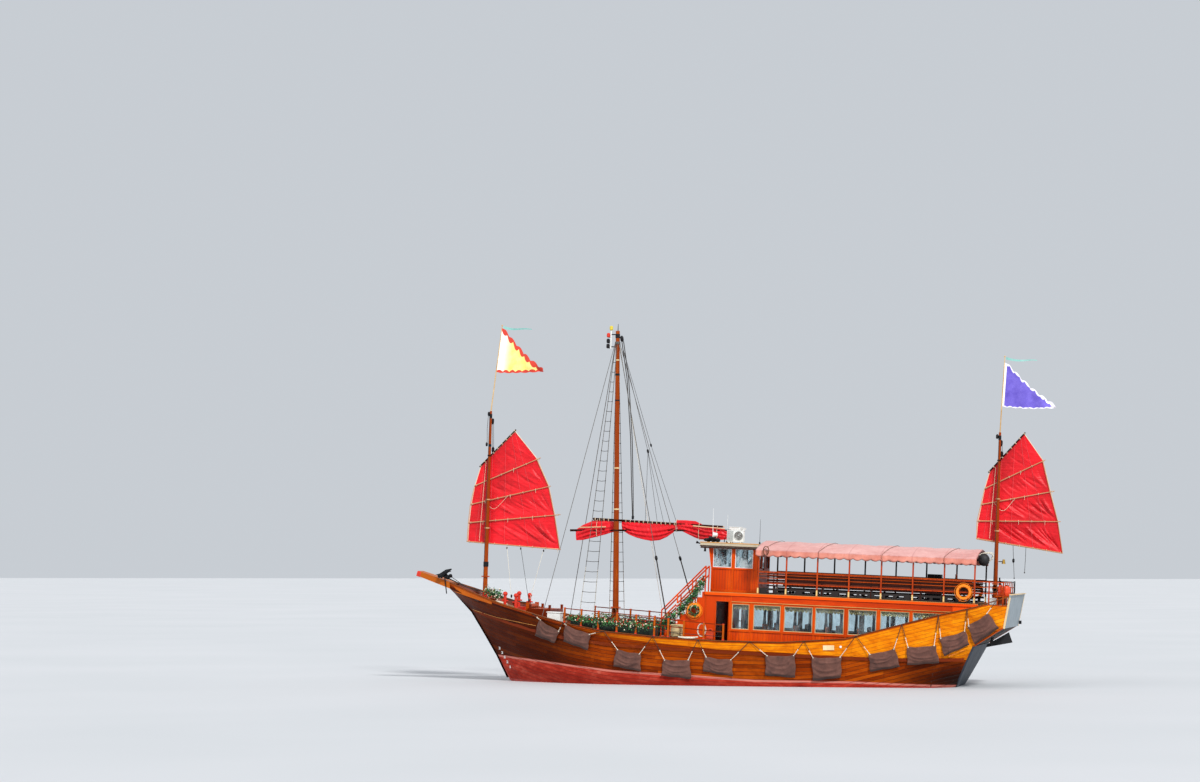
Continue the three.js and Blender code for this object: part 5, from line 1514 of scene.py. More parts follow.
def wheelhouse_dressing():
    trim = Shape()
    for x0, x1 in WHEEL_SIDE:
        frame_bars(trim, x0, x1, WHEEL_SILL, WHEEL_HEAD, -1.5 + 0.035, 0.03, 0.03, 1)
        low, high = WHEEL_SILL - 0.04, WHEEL_HEAD + 0.03
        frame_bars(trim, x0 - 0.04, x1 + 0.04, low, high, WHEEL_WALL, 0.04, 0.016, 0)
    for x0, x1, y, z0, z1 in ((0.165, 0.225, -1.535, 4.36, 6.46), (1.30, 1.37, -1.535, 4.36, 6.46),
                              (-0.84, 1.38, -1.545, 4.35, 4.47), (-0.86, 1.38, -1.54, 5.44, 5.485)):
        trim.box(x0, x1, y, WHEEL_WALL, z0, z1, 0)
    trim.bar((-0.83, -1.515, 4.36), (-0.83, -1.515, 5.5), 0.06, 0.06, 0)
    trim.bar((-0.84, -1.515, 5.5), (-0.985, -1.515, 6.46), 0.06, 0.06, 0)
    trim.make("wheelhouse_side_trim", [post_wood, enamel], smooth=False, bevel=0.004, both=True)
    ends = Shape()
    for y0, y1 in WHEEL_FRONT:
        for ya, za, yb, zb in ((y0, WHEEL_SILL, y1, WHEEL_SILL), (y0, WHEEL_HEAD, y1, WHEEL_HEAD),
                               (y0, WHEEL_SILL, y0, WHEEL_HEAD), (y1, WHEEL_SILL, y1, WHEEL_HEAD)):
            ends.bar(raked(ya, za), raked(yb, zb), 0.03, 0.05, 0)
    for y0, y1 in WHEEL_AFT:
        for z in (WHEEL_SILL, WHEEL_HEAD):
            ends.bar((1.39, y0, z), (1.39, y1, z), 0.02, 0.04, 0)
        for y in (y0, y1):
            ends.bar((1.39, y, WHEEL_SILL), (1.39, y, WHEEL_HEAD), 0.04, 0.02, 0)
    ends.box(-0.87, -0.845, -1.5, 1.5, 4.35, 4.47, 0)
    ends.box(-0.875, -0.845, -1.5, 1.5, 5.42, 5.47, 0)
    for y in (-1.2, -0.8, -0.4, 0, 0.4, 0.8, 1.2):
        ends.box(-0.850, -0.8405, y - 0.004, y + 0.004, 4.47, 5.42, 1)
    ends.make("wheelhouse_end_trim", [post_wood, dark_gap], smooth=False, bevel=0.003)
    seams = Shape()
    for x in steps_along(-0.72, 1.3, 0.135):
        seams.box(x, x + 0.006, -1.5045, -1.5, 4.47, 5.44)
    seams.make("wheelhouse_board_seams", [dark_gap], smooth=False, both=True)
    roof = Shape()
    for y0, y1 in ((-1.735, -1.60), (1.60, 1.735)):
        roof.box(-1.375, 1.415, y0, y1, 6.40, 6.478, 0)
    roof.box(-1.375, -1.25, -1.60, 1.60, 6.40, 6.478, 0)
    for z0, z1, slot in ((6.49, 6.54, 0), (6.66, ROOF_TOP, 1)):
        roof.box(-1.40, 1.44, -ROOF_HALF, -ROOF_HALF + 0.013, z0, z1, slot)
        roof.box(-1.40, 1.44, ROOF_HALF - 0.013, ROOF_HALF, z0, z1, slot)
    roof.box(-1.405, -1.392, -ROOF_HALF, ROOF_HALF, 6.49, 6.54, 0)
    roof.make("roof_edges", [dark_gap, moulding_tan], smooth=False, bevel=0.004)


def fan_grille(shape, centre, radius):
    """Round wire grille over a dark fan that faces port."""
    x, y, z = centre
    for share in (1.0, 0.8, 0.6, 0.4, 0.2):
        ring = circle(centre, (radius * share, 0, 0), (0, 0, radius * share), 24)
        shape.tube(ring, 0.006 if share < 1 else 0.012, 5, 1, closed=True)
    for k in range(8):
        dx, dz = radius * math.cos(k * math.pi / 8), radius * math.sin(k * math.pi / 8)
        shape.tube([(x - dx, y, z - dz), (x + dx, y, z + dz)], 0.004, 4, 1)
    shape.tube([(x, y + 0.002, z), (x, y + 0.03, z)], radius * 0.97, 24, 2)
    for k in range(4):
        turn = k * math.pi / 2 + 0.4
        tip = Vector((x + radius * 0.8 * math.cos(turn), y + 0.02, z + radius * 0.8 * math.sin(turn)))
        shape.bar(Vector((x, y + 0.01, z)), tip, 0.02, 0.09, 3)
    shape.ball(centre, 0.03, 1, 6, 10)


def roof_gear():
    """Grilles of the cooling units, aerials, lamps, the bundle and the boom's crutch on the roof."""
    gear = Shape()
    fan_grille(gear, (0.32, -1.127, 7.05), 0.205)
    fan_grille(gear, (-0.32, 1.243, 7.12), 0.2)
    for x0, x1, y, z0, z1 in ((-0.24, 0.06, -1.112, 6.8, 7.26), (-0.62, -0.02, 1.258, 6.8, 6.9)):
        for z in steps_along(z0, z1, 0.032):
            gear.box(x0, x1, y - 0.012, y, z, z + 0.012, 1)
    gear.box(-0.27, 0.57, -1.125, -0.765, 7.285, 7.305, 0)
    gear.box(-0.66, 0.02, 1.245, 1.595, 7.465, 7.485, 0)
    gear.tube([(-0.25, -0.95, 6.95), (-0.38, -0.95, 6.93), (-0.40, -0.95, 6.72)], 0.022, 8, 3)
    gear.tube([(-0.97, -0.9, ROOF_TOP), (-0.99, -0.9, 7.6), (-1.0, -0.9, 8.32)], [0.016, 0.011, 0.006], 8, 0)
    gear.turned(-0.60, 0.6, ((ROOF_TOP, 0.014), (8.05, 0.006)), 8, 0)
    gear.turned(0.9, 1.2, ((ROOF_TOP, 0.012), (7.9, 0.005)), 8, 3)
    for x, y in ((-0.97, -0.9), (-0.60, 0.6), (0.9, 1.2)):
        gear.turned(x, y, ((ROOF_TOP, 0.05), (6.80, 0.03)), 10, 3)
    gear.tube([(-1.05, 0, ROOF_TOP), (-1.05, 0, 6.98)], 0.022, 8, 3)
    gear.tube([(-1.16, 0, 7.06), (-0.94, 0, 7.06)], [0.12, 0.08], 14, 0)
    gear.tube([(-1.165, 0, 7.06), (-1.175, 0, 7.06)], [0.11, 0.10], 14, 4)
    gear.tube([(-0.9, -1.35, ROOF_TOP), (-0.9, -1.35, 6.86)], 0.02, 8, 3)
    gear.tube([(-1.05, -1.35, 6.9), (-0.82, -1.35, 6.9), (-0.74, -1.35, 6.9)], [0.09, 0.035, 0.03], 12, 3)
    for k in range(9):
        at = (-1.28 + 0.075 * k, -0.95 + 0.2 * math.sin(2.1 * k), 6.80)
        gear.ball(at, (0.13, 0.19, 0.08 + 0.03 * math.sin(1.7 * k)), 3, 6, 10)
    gear.turned(0.25, 0.1, ((ROOF_TOP, 0.05), (7.35, 0.035)), 10, 0)
    gear.box(0.21, 0.29, -0.62, 0.82, 7.36, 7.44, 0)
    gear.tube([(0.25, 0.1, 7.30), (0.25, 0.1, 7.37)], 0.1, 12, 0)
    gear.make("roof_gear", [enamel, grille_grey, dark_gap, iron_black, glass])
    horn = Shape()
    horn.tube([(-1.40, -1.45, 6.60), (-1.52, -1.5, 6.63), (-1.62, -1.55, 6.67)], [0.03, 0.03, 0.07], 12)
    horn.turned(-1.20, -1.50, ((6.40, 0.04), (6.24, 0.06)))
    horn.make("roof_horn_and_lamp", [iron_black])


wheelhouse_dressing()
roof_gear()

# Upper deck: rails, slats, post feet


def awning_post_finish():
    """Orange posts on the port side; the far side's posts get a painted shade, near black; all with cream
    feet.
    """
    finish = Finish("awning_posts", coat=0.05, specular=0.2)
    fine = finish.noise(24, 5, 0.65, stretch=GRAINS["Z"])
    near = finish.ramp(fine, [(0.3, "#6e1c00"), (0.5, "#a43400"), (0.75, "#c84c04")])
    # Painted shade: the starboard posts get a near black copy of the orange wood.
    far_painted_shade = finish.ramp(fine, [(0.3, "#120b08"), (0.7, "#32190f")])
    colour = finish.mix(finish.steps(finish.axis("Y"), 0.4, 0.9), near, far_painted_shade)
    foot = finish.steps(finish.axis("Z"), 4.66, 4.63)
    upright = finish.steps(finish.axis("X"), 11.76, 11.75)
    finish.colour(finish.tint(colour, finish.times(foot, upright), 0.9, "#e4c27e"))
    finish.rough(fine, 0.25, 0.5)
    finish.bump(fine, 0.002, 0.5)
    return finish.material


def upper_rails():
    """Rails between the awning's posts, the stern rail, and the slats of the benches."""
    rails = Shape()
    for z in (5.12, 5.27):
        rails.tube([(x, -2.40, z) for x in POSTS_X], 0.016)
    rails.box(1.60, 11.72, -2.44, -2.36, 5.42, 5.445)
    for x in POSTS_X:
        rails.box(x - 0.055, x + 0.055, -2.455, -2.345, 4.342, 4.40)
        rails.bar((x, -2.36, 6.20), (x, -2.02, 6.42), 0.03, 0.04)
    rails.make("upper_rail_trim", [rail_wood], bevel=0.003, both=True)
    stern = Shape()
    stern.tube([(11.72, -2.4, 5.14), (12.4, -2.5, 5.14), (13.06, -2.6, 5.14)], 0.016)
    stern.tube([(13.06, -2.6, 5.14), (13.06, 0, 5.14)], 0.016)
    for y in (-1.75, -0.9, -0.02):
        stern.bar((13.06, y, 4.36), (13.06, y, 5.42), 0.04, 0.04)
    stern.make("stern_rail_trim", [rail_wood], both=True)
    slats = Shape()
    for z in (4.93, 5.13, 5.33):
        slats.box(2.0, 11.6, -2.295, -2.272, z - 0.035, z + 0.035, shade=0.3 + z % 0.4)
    for i in range(5):
        y = -2.26 + i * 0.092
        slats.box(2.0, 11.6, y, y + 0.078, 4.781, 4.80, shade=0.2 + 0.15 * i)
    for x in (2.3, 4.6, 6.9, 9.2, 11.2):
        slats.bar((x + 0.02, -1.87, 4.36), (x + 0.02, -2.28, 4.72), 0.03, 0.04)
    slats.make("bench_slats", [bench_wood], smooth=False, bevel=0.005, both=True)


upper_rails()


def steering_wheel():
    wheel = Shape()
    centre = Vector((10.41, 1.5, 5.30))
    wheel.tube(circle(centre, (0, 0.36, 0), (0, 0, 0.36), 24), 0.025, closed=True)
    for spoke in circle((0, 0, 0), (0, 1, 0), (0, 0, 1), 8):
        wheel.tube([centre + spoke * reach for reach in (0.05, 0.28, 0.5)], [0.018, 0.022, 0.014])
    wheel.tube([centre - Vector((0.05, 0, 0)), centre + Vector((0.05, 0, 0))], 0.07, 12)
    wheel.bar(centre + Vector((0.12, 0, 0)), (10.53, 1.5, UPPER_DECK), 0.16, 0.2)
    wheel.make("steering_wheel", [rail_wood], bevel=0.006)


def stern_stores():
    """Cans on their stand, and the lockers at the stern."""
    cans = Shape()
    foot = 4.80
    for x, y, high in ((13.17, -2.40, 0.46), (13.20, -2.05, 0.44), (12.90, -2.30, 0.48)):
        body = ((0, 0.105), (0.04, 0.125), (high - 0.1, 0.125), (high - 0.03, 0.09), (high, 0.06))
        cans.turned(x, y, [(foot + rise, radius) for rise, radius in body], 16)
        cans.tube([(x, y, foot + high), (x, y, foot + high + 0.04)], 0.045, 12, 1)
        for rise in (0.14, 0.28):
            ring = circle((x, y, foot + rise), (0.127, 0, 0), (0, 0.127, 0), 16)
            cans.tube(ring, 0.008, 5, closed=True)
    cans.box(12.72, 13.34, -2.56, -1.88, 4.74, 4.795, 2)
    for x, y in ((12.76, -2.52), (12.76, -1.92), (13.26, -2.52), (13.26, -1.92)):
        cans.box(x, x + 0.05, y, y + 0.05, 4.35, 4.74, 2)
    cans.make("stern_cans", [can_orange, iron_black, rail_wood])
    stores = Shape()
    stores.lidded(12.15, 12.75, 1.2, 2.0, UPPER_DECK, 4.74, 0.03, 0.04)
    stores.lidded(12.2, 12.6, -1.25, -0.65, UPPER_DECK, 4.62, 0.02, 0.03, 1, 1)
    stores.box(9.2, 9.85, 0.2, 0.75, UPPER_DECK, 5.62, 2)
    stores.make("stern_lockers", [bench_wood, enamel, iron_black], smooth=False, bevel=0.012)


def stern_hangings():
    """The dark float that hangs in its ropes, and the lamp by the mizzenmast."""
    ball = Shape()
    hung = Vector((12.01, -1.5, 6.40))
    ball.ball(hung, (0.27, 0.27, 0.29), 0, 12, 20)
    for k in range(7):
        path = []
        for i in range(26):
            turn = 2 * math.pi * i / 26
            reach = 0.30 + 0.035 * math.sin(3 * turn + k)
            rise = 0.12 + reach * 0.72 * math.sin(turn + 0.1 * k)
            path.append(hung + Vector((0.12 + reach * math.cos(turn), -0.05 + 0.02 * k, rise)))
        ball.tube(path, 0.011, 5, 1, closed=True)
    ball.tube([hung + Vector((0, 0, 0.28)), (11.75, -1.5, 6.62), (11.72, -1.45, 6.70)], 0.014, 6, 1)
    ball.make("hung_float", [tar_black, rope_pale])
    lamp = Shape()
    lamp.tube([(12.55, -0.15, 6.35), (12.8, -0.3, 6.35)], 0.02)
    lamp.turned(12.8, -0.3, ((6.25, 0.09), (6.46, 0.05)), 12, 1)
    lamp.tube([(12.62, 0.0, 5.0), (12.62, -0.12, 5.6)], 0.035)
    lamp.make("mizzen_lamp", [iron_black, bronze])


steering_wheel()
stern_stores()
stern_hangings()

# Plants, garlands and the wreath


def leafy(shape, path, spread, count, rng, blossoms=0.08):
    """Leaves and a few blossoms scattered about a line."""
    for _ in range(count):
        share = rng.random()
        base = Vector(along(path, share)) + Vector([rng.gauss(0, spread * 0.45) for _ in range(3)])
        aim = Vector([rng.gauss(0, 1) for _ in range(3)]).normalized()
        cross = aim.orthogonal().normalized()
        long, wide = rng.uniform(0.07, 0.13), rng.uniform(0.022, 0.04)
        if rng.random() < blossoms:
            shape.ball(base, 0.032, rng.choice((1, 2)), 4, 6)
        else:
            middle = base + aim * long * 0.5 + aim.cross(cross) * wide * 0.5
            points = [base, middle + cross * wide, base + aim * long, middle - cross * wide]
            shape.add(points, [(0, 1, 2), (0, 2, 3)], 0, rng.random())


def greenery():
    """Plants on the stair's rail, in the planters and on the foredeck, and the wreath on the fore ring."""
    rng = random.Random(77)
    leaves = Shape()
    stair_rail = [(-2.95, -2.40, 2.70), (-2.2, -2.41, 3.30), (-1.6, -2.41, 3.95), (-1.0, -2.40, 4.9)]
    leafy(leaves, stair_rail, 0.2, 1500, rng, 0.05)
    planters = ((-7.5, 2.83), (-6.0, 2.76), (-4.4, 2.68), (-3.1, 2.63))
    for sign, spread, count in ((-1, 0.2, 1500), (1, 0.17, 700)):
        line = [(x, sign * (between(HALF_AT_SHEER, x) - 0.02), z) for x, z in planters]
        leafy(leaves, line, spread, count, rng, 0.12)
    leafy(leaves, [(-12.15, -0.9, 3.82), (-11.75, -1.1, 3.78), (-11.4, -1.2, 3.66)], 0.24, 420, rng, 0.12)
    wreath = circle((-1.4, -2.55, 3.44), (0.2, 0, 0), (0, 0, 0.2), 20)
    leafy(leaves, wreath + wreath[:1], 0.05, 260, rng, 0.1)
    leaves.make("greenery", [leaf_finish(), signal_red, flower_cream], smooth=False)


def leaf_finish():
    finish = Finish("leaf_green", 0.55)
    finish.colour(finish.ramp(finish.mark("shade"), [
        (0.05, "#0d2a12"), (0.4, "#174a22"), (0.7, "#2a6a30"), (0.95, "#4c8f48"),
    ]))
    finish.rough(finish.noise(30, 3), 0.4, 0.7)
    finish.bump(finish.noise(60, 2), 0.002, 0.4)
    return finish.material


greenery()

# Waist and foredeck gear


def waist_gear():
    """A basket, a roll and a can by the rail, and the striped pole by the stairs."""
    gear = Shape()
    x, y = -2.09, -2.9
    basket = ((2.17, 0.25), (2.22, 0.27), (2.45, 0.30), (2.68, 0.30), (2.74, 0.31), (2.76, 0.29))
    gear.turned(x, y, basket, 20)
    for z in (2.24, 2.45, 2.66):
        gear.tube(circle((x, y, z), (0.305, 0, 0), (0, 0.305, 0), 20), 0.014, 6, closed=True)
    roll = [(-1.9, -3.46, 2.20), (-1.55, -3.47, 2.18), (-1.2, -3.47, 2.19), (-0.95, -3.46, 2.24)]
    gear.tube(roll, [0.03, 0.055, 0.055, 0.03], 10, 1)
    gear.box(-0.62, -0.32, -3.10, -2.88, 2.0, 2.52, 2)
    gear.turned(-0.47, -2.99, ((2.52, 0.05), (2.60, 0.04)), 10, 3)
    handle = ((-0.58, 2.52), (-0.56, 2.63), (-0.40, 2.63), (-0.36, 2.52))
    gear.tube([(x, -2.99, z) for x, z in handle], 0.018, 8, 2)
    gear.make("waist_gear", [rattan, rope_pale, can_orange, iron_black], bevel=0.01)
    coil = hung_coil((-0.80, -3.465, 2.57), 0.30, 5, 0.034, out=1)
    free_rope("rail_coil", coil, 0.034, rope_pale)
    stripes = Shape()
    for k in range(12):
        ends = [(-2.24 + 0.01 * math.sin(n), -2.46, 2.72 + 0.085 * n) for n in (k, k + 1)]
        stripes.tube(ends, 0.04, 10, k % 2)
    stripes.make("striped_pole", [signal_red, enamel])


def deck_boxes():
    """Lockers, planters and a grated hatch on the open deck."""
    boxes = Shape()
    boxes.lidded(-8.75, -8.10, -1.9, -1.35, 2.45, 2.98, 0.03, 0.05)
    boxes.box(-8.5, -7.9, 0.9, 1.5, 2.4, 2.85, 1)
    boxes.lidded(-4.95, -4.15, -1.9, -1.1, 1.99, 2.44, 0.03, 0.05, 1, 1)
    boxes.lidded(-4.95, -4.15, 1.0, 1.9, 1.99, 2.44, 0.03, 0.05, 1, 1)
    for x0, x1, foot in ((-7.35, -6.3, 2.18), (-6.2, -5.2, 2.04), (-5.1, -4.2, 1.97), (-4.1, -3.2, 1.95)):
        for y in (-2.72, 2.28):
            boxes.lidded(x0, x1, y, y + 0.44, foot, 2.72 - 0.02 * (x0 + 7), 0.02, 0.04, 3, 1)
    boxes.lidded(-7.4, -6.6, -0.6, 0.6, 2.2, 2.55, 0.04, 0.06, 1, 1)
    for y in (-0.4, -0.13, 0.13, 0.4):
        boxes.box(-7.46, -6.54, y - 0.02, y + 0.02, 2.61, 2.63, 2)
    boxes.make("deck_boxes", [enamel, bench_wood, iron_black, planter_green], smooth=False, bevel=0.012)
    free_rope("deck_coil", flat_coil(-11.8, 0.6, 0.30, 6, 0.036), 0.036, rope_pale)


def foredeck_gear():
    """The windlass, the anchor's cable, line and heap, the bitts' pins and the tip of the bow platform."""
    gear = Shape()
    drum = Vector((-10.05, 0, 3.22))
    gear.tube([drum + Vector((0, y, 0)) for y in (-0.75, -0.5, 0.5, 0.75)], [0.10, 0.12, 0.12, 0.10], 16)
    for y in (-0.8, 0.8):
        gear.bar((drum.x, y, 2.95), (drum.x, y, 3.40), 0.10, 0.18)
    for whelp in circle(drum, (0.10, 0, 0), (0, 0, 0.10), 6):
        gear.bar(whelp + Vector((0, -0.35, 0)), whelp + Vector((0, 0.35, 0)), 0.04, 0.04)
    gear.box(-9.88, -8.82, -1.13, 1.13, 3.121, 3.13)
    for x in (-9.6, -9.3, -9.0):
        gear.box(x, x + 0.02, -1.13, 1.13, 3.13, 3.136, 1)
    gear.make("windlass", [rail_wood, iron_black], bevel=0.01)
    free_rope("anchor_cable", smooth_path([
        (-14.38, -0.55, 4.42), (-14.1, -0.42, 4.30), (-13.4, -0.40, 4.02), (-12.7, -0.38, 3.86),
        (-11.9, -0.35, 3.66), (-11.0, -0.2, 3.44), (-10.1, -0.1, 3.35),
    ]), 0.056, rope_black)
    free_rope("anchor_line", smooth_path([
        (-14.55, -0.62, 4.66), (-14.1, -0.50, 4.44), (-13.2, -0.9, 4.02), (-12.2, -1.35, 3.72),
    ]), 0.032, rope_black)
    heap = Shape()
    rng = random.Random(12)
    for k in range(16):
        at = Vector((lerp(-14.72, -14.10, k / 15), rng.uniform(-0.7, -0.4), rng.uniform(4.40, 4.56)))
        heap.ball(at, (rng.uniform(0.07, 0.13), 0.09, rng.uniform(0.05, 0.09)), 0, 5, 8)
    heap.tube([(-14.62, -0.72, 4.46), (-14.3, -0.71, 4.72), (-14.06, -0.7, 4.84)], [0.13, 0.10, 0.03])
    heap.make("anchor_heap", [iron_black])
    pins = Shape()
    for x, top in ((-11.1, 3.86), (-10.55, 3.80)):
        for y in (-1.2, 1.2):
            pins.tube([(x - 0.16, y, top - 0.42), (x + 0.16, y, top - 0.42)], 0.035, 10)
    pins.make("bitt_pins", [signal_red])
    tip = Shape()
    tip.bar((-15.945, 0, 4.55), (-15.74, 0, 4.50), 0.80, 0.262)
    tip.make("bow_tip", [signal_red], bevel=0.02)


waist_gear()
deck_boxes()
foredeck_gear()

INNER_FOOT = (
    (-14.15, 3.86), (-12.32, 3.35), (-10.2, 2.82), (-7.5, 2.2), (-5.5, 1.98), (-3, 1.9),
    (8.5, 1.9), (10.75, 2.1),
)
# The waist rail's posts: where they stand, and how high
WAIST_POSTS = (
    (-7.62, 3.27), (-6.75, 3.23), (-5.87, 3.20), (-4.93, 3.16), (-3.98, 3.12), (-3.07, 3.09), (-2.40, 3.01),
    (-1.64, 2.97), (-0.68, 2.92), (0.25, 2.88),
)


def bulwark_frames():
    """Timberheads inside the bulwark, and blocks that carry the cap."""
    ribs = Shape()
    for x in steps_along(-12.6, 10.5, 0.62):
        foot = between(INNER_FOOT, x)
        top = between(SHEER, x) - 0.055
        if top - foot > 0.1:
            low, high = (side(x, z).y + 0.085 for z in (foot + 0.03, top - 0.01))
            ribs.bar((x, low, foot + 0.005), (x, high, top), 0.07, 0.05)
    ribs.make("bulwark_ribs", [rail_wood], smooth=False, bevel=0.006, both=True)
    caps = Shape()
    for x, z in WAIST_POSTS:
        y, rail = -between(HALF_AT_SHEER, x) + 0.02, between(SHEER, x)
        for half, z0, z1, slot in (
            (0.045, z, z + 0.03, 0), (0.05, rail + 0.001, rail + 0.05, 0), (0.042, rail + 0.05, z, 1),
        ):
            caps.box(x - half, x + half, y - half, y + half, z0, z1, slot)
    caps.make("waist_post_caps", [signal_red, wale_wood], smooth=False, bevel=0.006, both=True)
    third = Shape()
    third.tube([(x, -between(HALF_AT_SHEER, x) + 0.02, (z + between(SHEER, x)) / 2 - 0.2)
                for x, z in WAIST_POSTS], 0.014, 6)
    third.make("waist_low_rail", [rope_black], both=True)


bulwark_frames()


def rings_dressing():
    """Grab ropes round the life rings."""
    bands = Shape()
    for x, y, z in ((-1.4, -2.465, 3.44), (11.24, -2.49, 4.88), (11.24, 2.49, 4.88)):
        for k in range(4):
            turn = math.pi / 4 + k * math.pi / 2
            radial = Vector((math.cos(turn), 0, math.sin(turn)))
            loop = circle(Vector((x, y, z)) + radial * 0.3, radial * 0.080, (0, 0.080, 0), 12)
            bands.tube(loop, 0.009, 6, closed=True)
        grab = []
        for i in range(49):
            turn = 2 * math.pi * i / 48
            slack = 0.395 + 0.03 * abs(math.sin(2 * (turn - math.pi / 4)))
            grab.append((x + slack * math.cos(turn), y - 0.03, z + slack * math.sin(turn)))
        bands.tube(grab, 0.009, 6)
    bands.make("ring_ropes", [ring_orange])


rings_dressing()

# Main rigging, mast fittings and falls

# Each mast's foot and head as (x, z), and its radius at both
MASTS = {
    "fore": ((-12.5, 3.395), (-12.61, 12.7), 0.12, 0.055),
    "main": ((-5.80, 2.01), (-6.32, 16.8), 0.155, 0.10),
    "mizzen": ((12.42, 4.34), (12.40, 12.4), 0.11, 0.055),
}
SHROUD_TOP = 16.21
SHROUDS = (((-0.07, -0.095), -6.9), ((0.01, -0.118), -6.14))
AFT_STAY = ((0.08, -0.086), -2.3)
RUNG_PITCH = 0.485


def on_mast(name, z):
    """Centre and radius of a mast at that height."""
    low, high, thick, thin = MASTS[name]
    t = (z - low[1]) / (high[1] - low[1])
    return Vector((lerp(low[0], high[0], t), 0, z)), lerp(thick, thin, t)


def stay_line(start, foot_x):
    """Ends of a port stay from the hounds to the rail."""
    centre, _ = on_mast("main", SHROUD_TOP)
    foot = Vector((foot_x, 0.02 - between(HALF_AT_SHEER, foot_x), between(SHEER, foot_x) + 0.015))
    return centre + Vector((*start, 0)), foot


def block(shape, at, size, slot, aim=(0, 0, 1)):
    """A pulley block: an oval shell with a sheave's rim showing."""
    at, aim = Vector(at), Vector(aim).normalized()
    shape.tube([at + aim * size * share for share in (-1, -0.55, 0.55, 1)],
               [size * 0.25, size * 0.55, size * 0.55, size * 0.25], 10, slot)


def ladder():
    """Rungs of rope between the two port shrouds, and the same to starboard."""
    ropes = Shape()
    lines = [stay_line(*shroud) for shroud in SHROUDS]
    for z in steps_along(3.6, 15.5, RUNG_PITCH):
        a, b = (head.lerp(foot, (head.z - z) / (head.z - foot.z)) for head, foot in lines)
        ropes.tube([a, (a + b) / 2 - Vector((0, 0, 0.02)), b], 0.012, 6, 0)
        for end in (a, b):
            ropes.ball(end, 0.026, 0, 5, 8)
    for head, foot in lines:
        ropes.tube([head.lerp(foot, 0.80), head.lerp(foot, 0.985)], 0.014, 8, 1)
    head, foot = stay_line(*AFT_STAY)
    ropes.tube([head.lerp(foot, 0.74), head.lerp(foot, 0.985)], 0.03, 8, 0)
    for share, size in ((0.74, 0.12), (0.97, 0.11)):
        block(ropes, head.lerp(foot, share), size, 2, head - foot)
    ropes.make("mast_ladder", [rope_black, rope_pale, iron_black], both=True)


def mast_fittings():
    """Lamps at the mainmast's head, pale bands, cleats and the blocks at every head."""
    gear = Shape()
    gear.tube([(-6.64, 0, 15.92), (-6.65, 0, 16.82)], 0.035, 8, 0)
    for z in (16.02, 16.62):
        gear.bar((-6.64, 0, z), on_mast("main", z)[0], 0.035, 0.05, 2)
    for x, z, slot in ((-6.65, 16.93, 3), (-6.78, 16.58, 1), (-6.78, 16.30, 2), (-6.78, 16.05, 2)):
        lamp = ((-0.11, 0.05), (-0.07, 0.085), (0.07, 0.085), (0.11, 0.05))
        gear.turned(x, 0, [(z + rise, radius) for rise, radius in lamp], 14, slot)
        if z < 16.9:
            gear.bar((x, 0, z - 0.1), (-6.64, 0, z - 0.1), 0.03, 0.03, 2)
    gear.turned(-6.31, 0, ((16.8, 0.022), (17.14, 0.01)), 8, 2)
    for name, z, half, out, slot in (
        ("main", 15.37, 0.03, 0.006, 5), ("main", 10.1, 0.035, 0.008, 5), ("main", 8.1, 0.035, 0.008, 5),
        ("main", 16.55, 0.1, 0.012, 2), ("main", 14.66, 0.05, 0.006, 2), ("main", 13.4, 0.03, 0.006, 2),
        ("fore", 12.45, 0.1, 0.012, 2), ("fore", 11.0, 0.06, 0.01, 2), ("fore", 5.15, 0.12, 0.02, 2),
        ("fore", 3.66, 0.2, 0.006, 1), ("mizzen", 12.15, 0.1, 0.012, 2), ("mizzen", 5.05, 0.1, 0.02, 2),
    ):
        low, wide = on_mast(name, z - half)
        gear.tube([low, on_mast(name, z + half)[0]], wide + out, 20, slot)
    block(gear, (-6.10, 0.02, 16.42), 0.15, 2, (0.2, 0, -1))
    block(gear, (-12.70, -0.04, 12.55), 0.11, 2)
    block(gear, (12.28, -0.04, 12.2), 0.11, 2)
    for name, z, reach in (("main", 3.35, 0.2), ("fore", 4.55, 0.16), ("mizzen", 5.30, 0.15)):
        centre, wide = on_mast(name, z)
        for y in (-1, 1):
            a, b = (centre + Vector((x, y * (wide + 0.03), 0)) for x in (-reach, reach))
            gear.bar(a, b, 0.04, 0.05, 4)
    gear.make("mast_fittings", [enamel, signal_red, iron_black, lamp_yellow, rail_wood, corner_cream])


def falls():
    """Ropes that hang along the masts to their cleats, and the spare halyard to starboard."""
    ropes = Shape()
    for name, top, low in (("fore", 12.4, 4.55), ("mizzen", 12.1, 5.3)):
        path = []
        for i in range(13):
            centre, wide = on_mast(name, lerp(top, low, i / 12))
            path.append(centre - Vector((wide * 0.5, wide + 0.05, 0)))
        ropes.tube(path, 0.012, 6, 0)
    for name, z in (("main", 3.35), ("mizzen", 5.30)):
        centre, wide = on_mast(name, z)
        coil = hung_coil((centre.x, -wide - 0.02, z - 0.2), 0.17, 5, 0.028)
        free_rope(f"{name}mast_coil", coil, 0.028, rope_brown)
    centre, wide = on_mast("main", 16.0)
    foot = Vector((-4.1, between(HALF_AT_SHEER, -4.1) - 0.03, between(SHEER, -4.1) + 0.03))
    ropes.tube([centre + Vector((wide, 0.10, 0)), foot], 0.012, 6, 1)
    block(ropes, foot + Vector((0, 0, 0.12)), 0.08, 2)
    ropes.tube([(-12.72, -0.05, 12.5), (-12.75, -0.05, 11.8), (-12.72, -0.05, 11.1)], 0.012, 6, 0)
    block(ropes, (-12.74, -0.05, 11.05), 0.1, 2)
    ropes.make("mast_falls", [rope_black, rope_pale, iron_black])


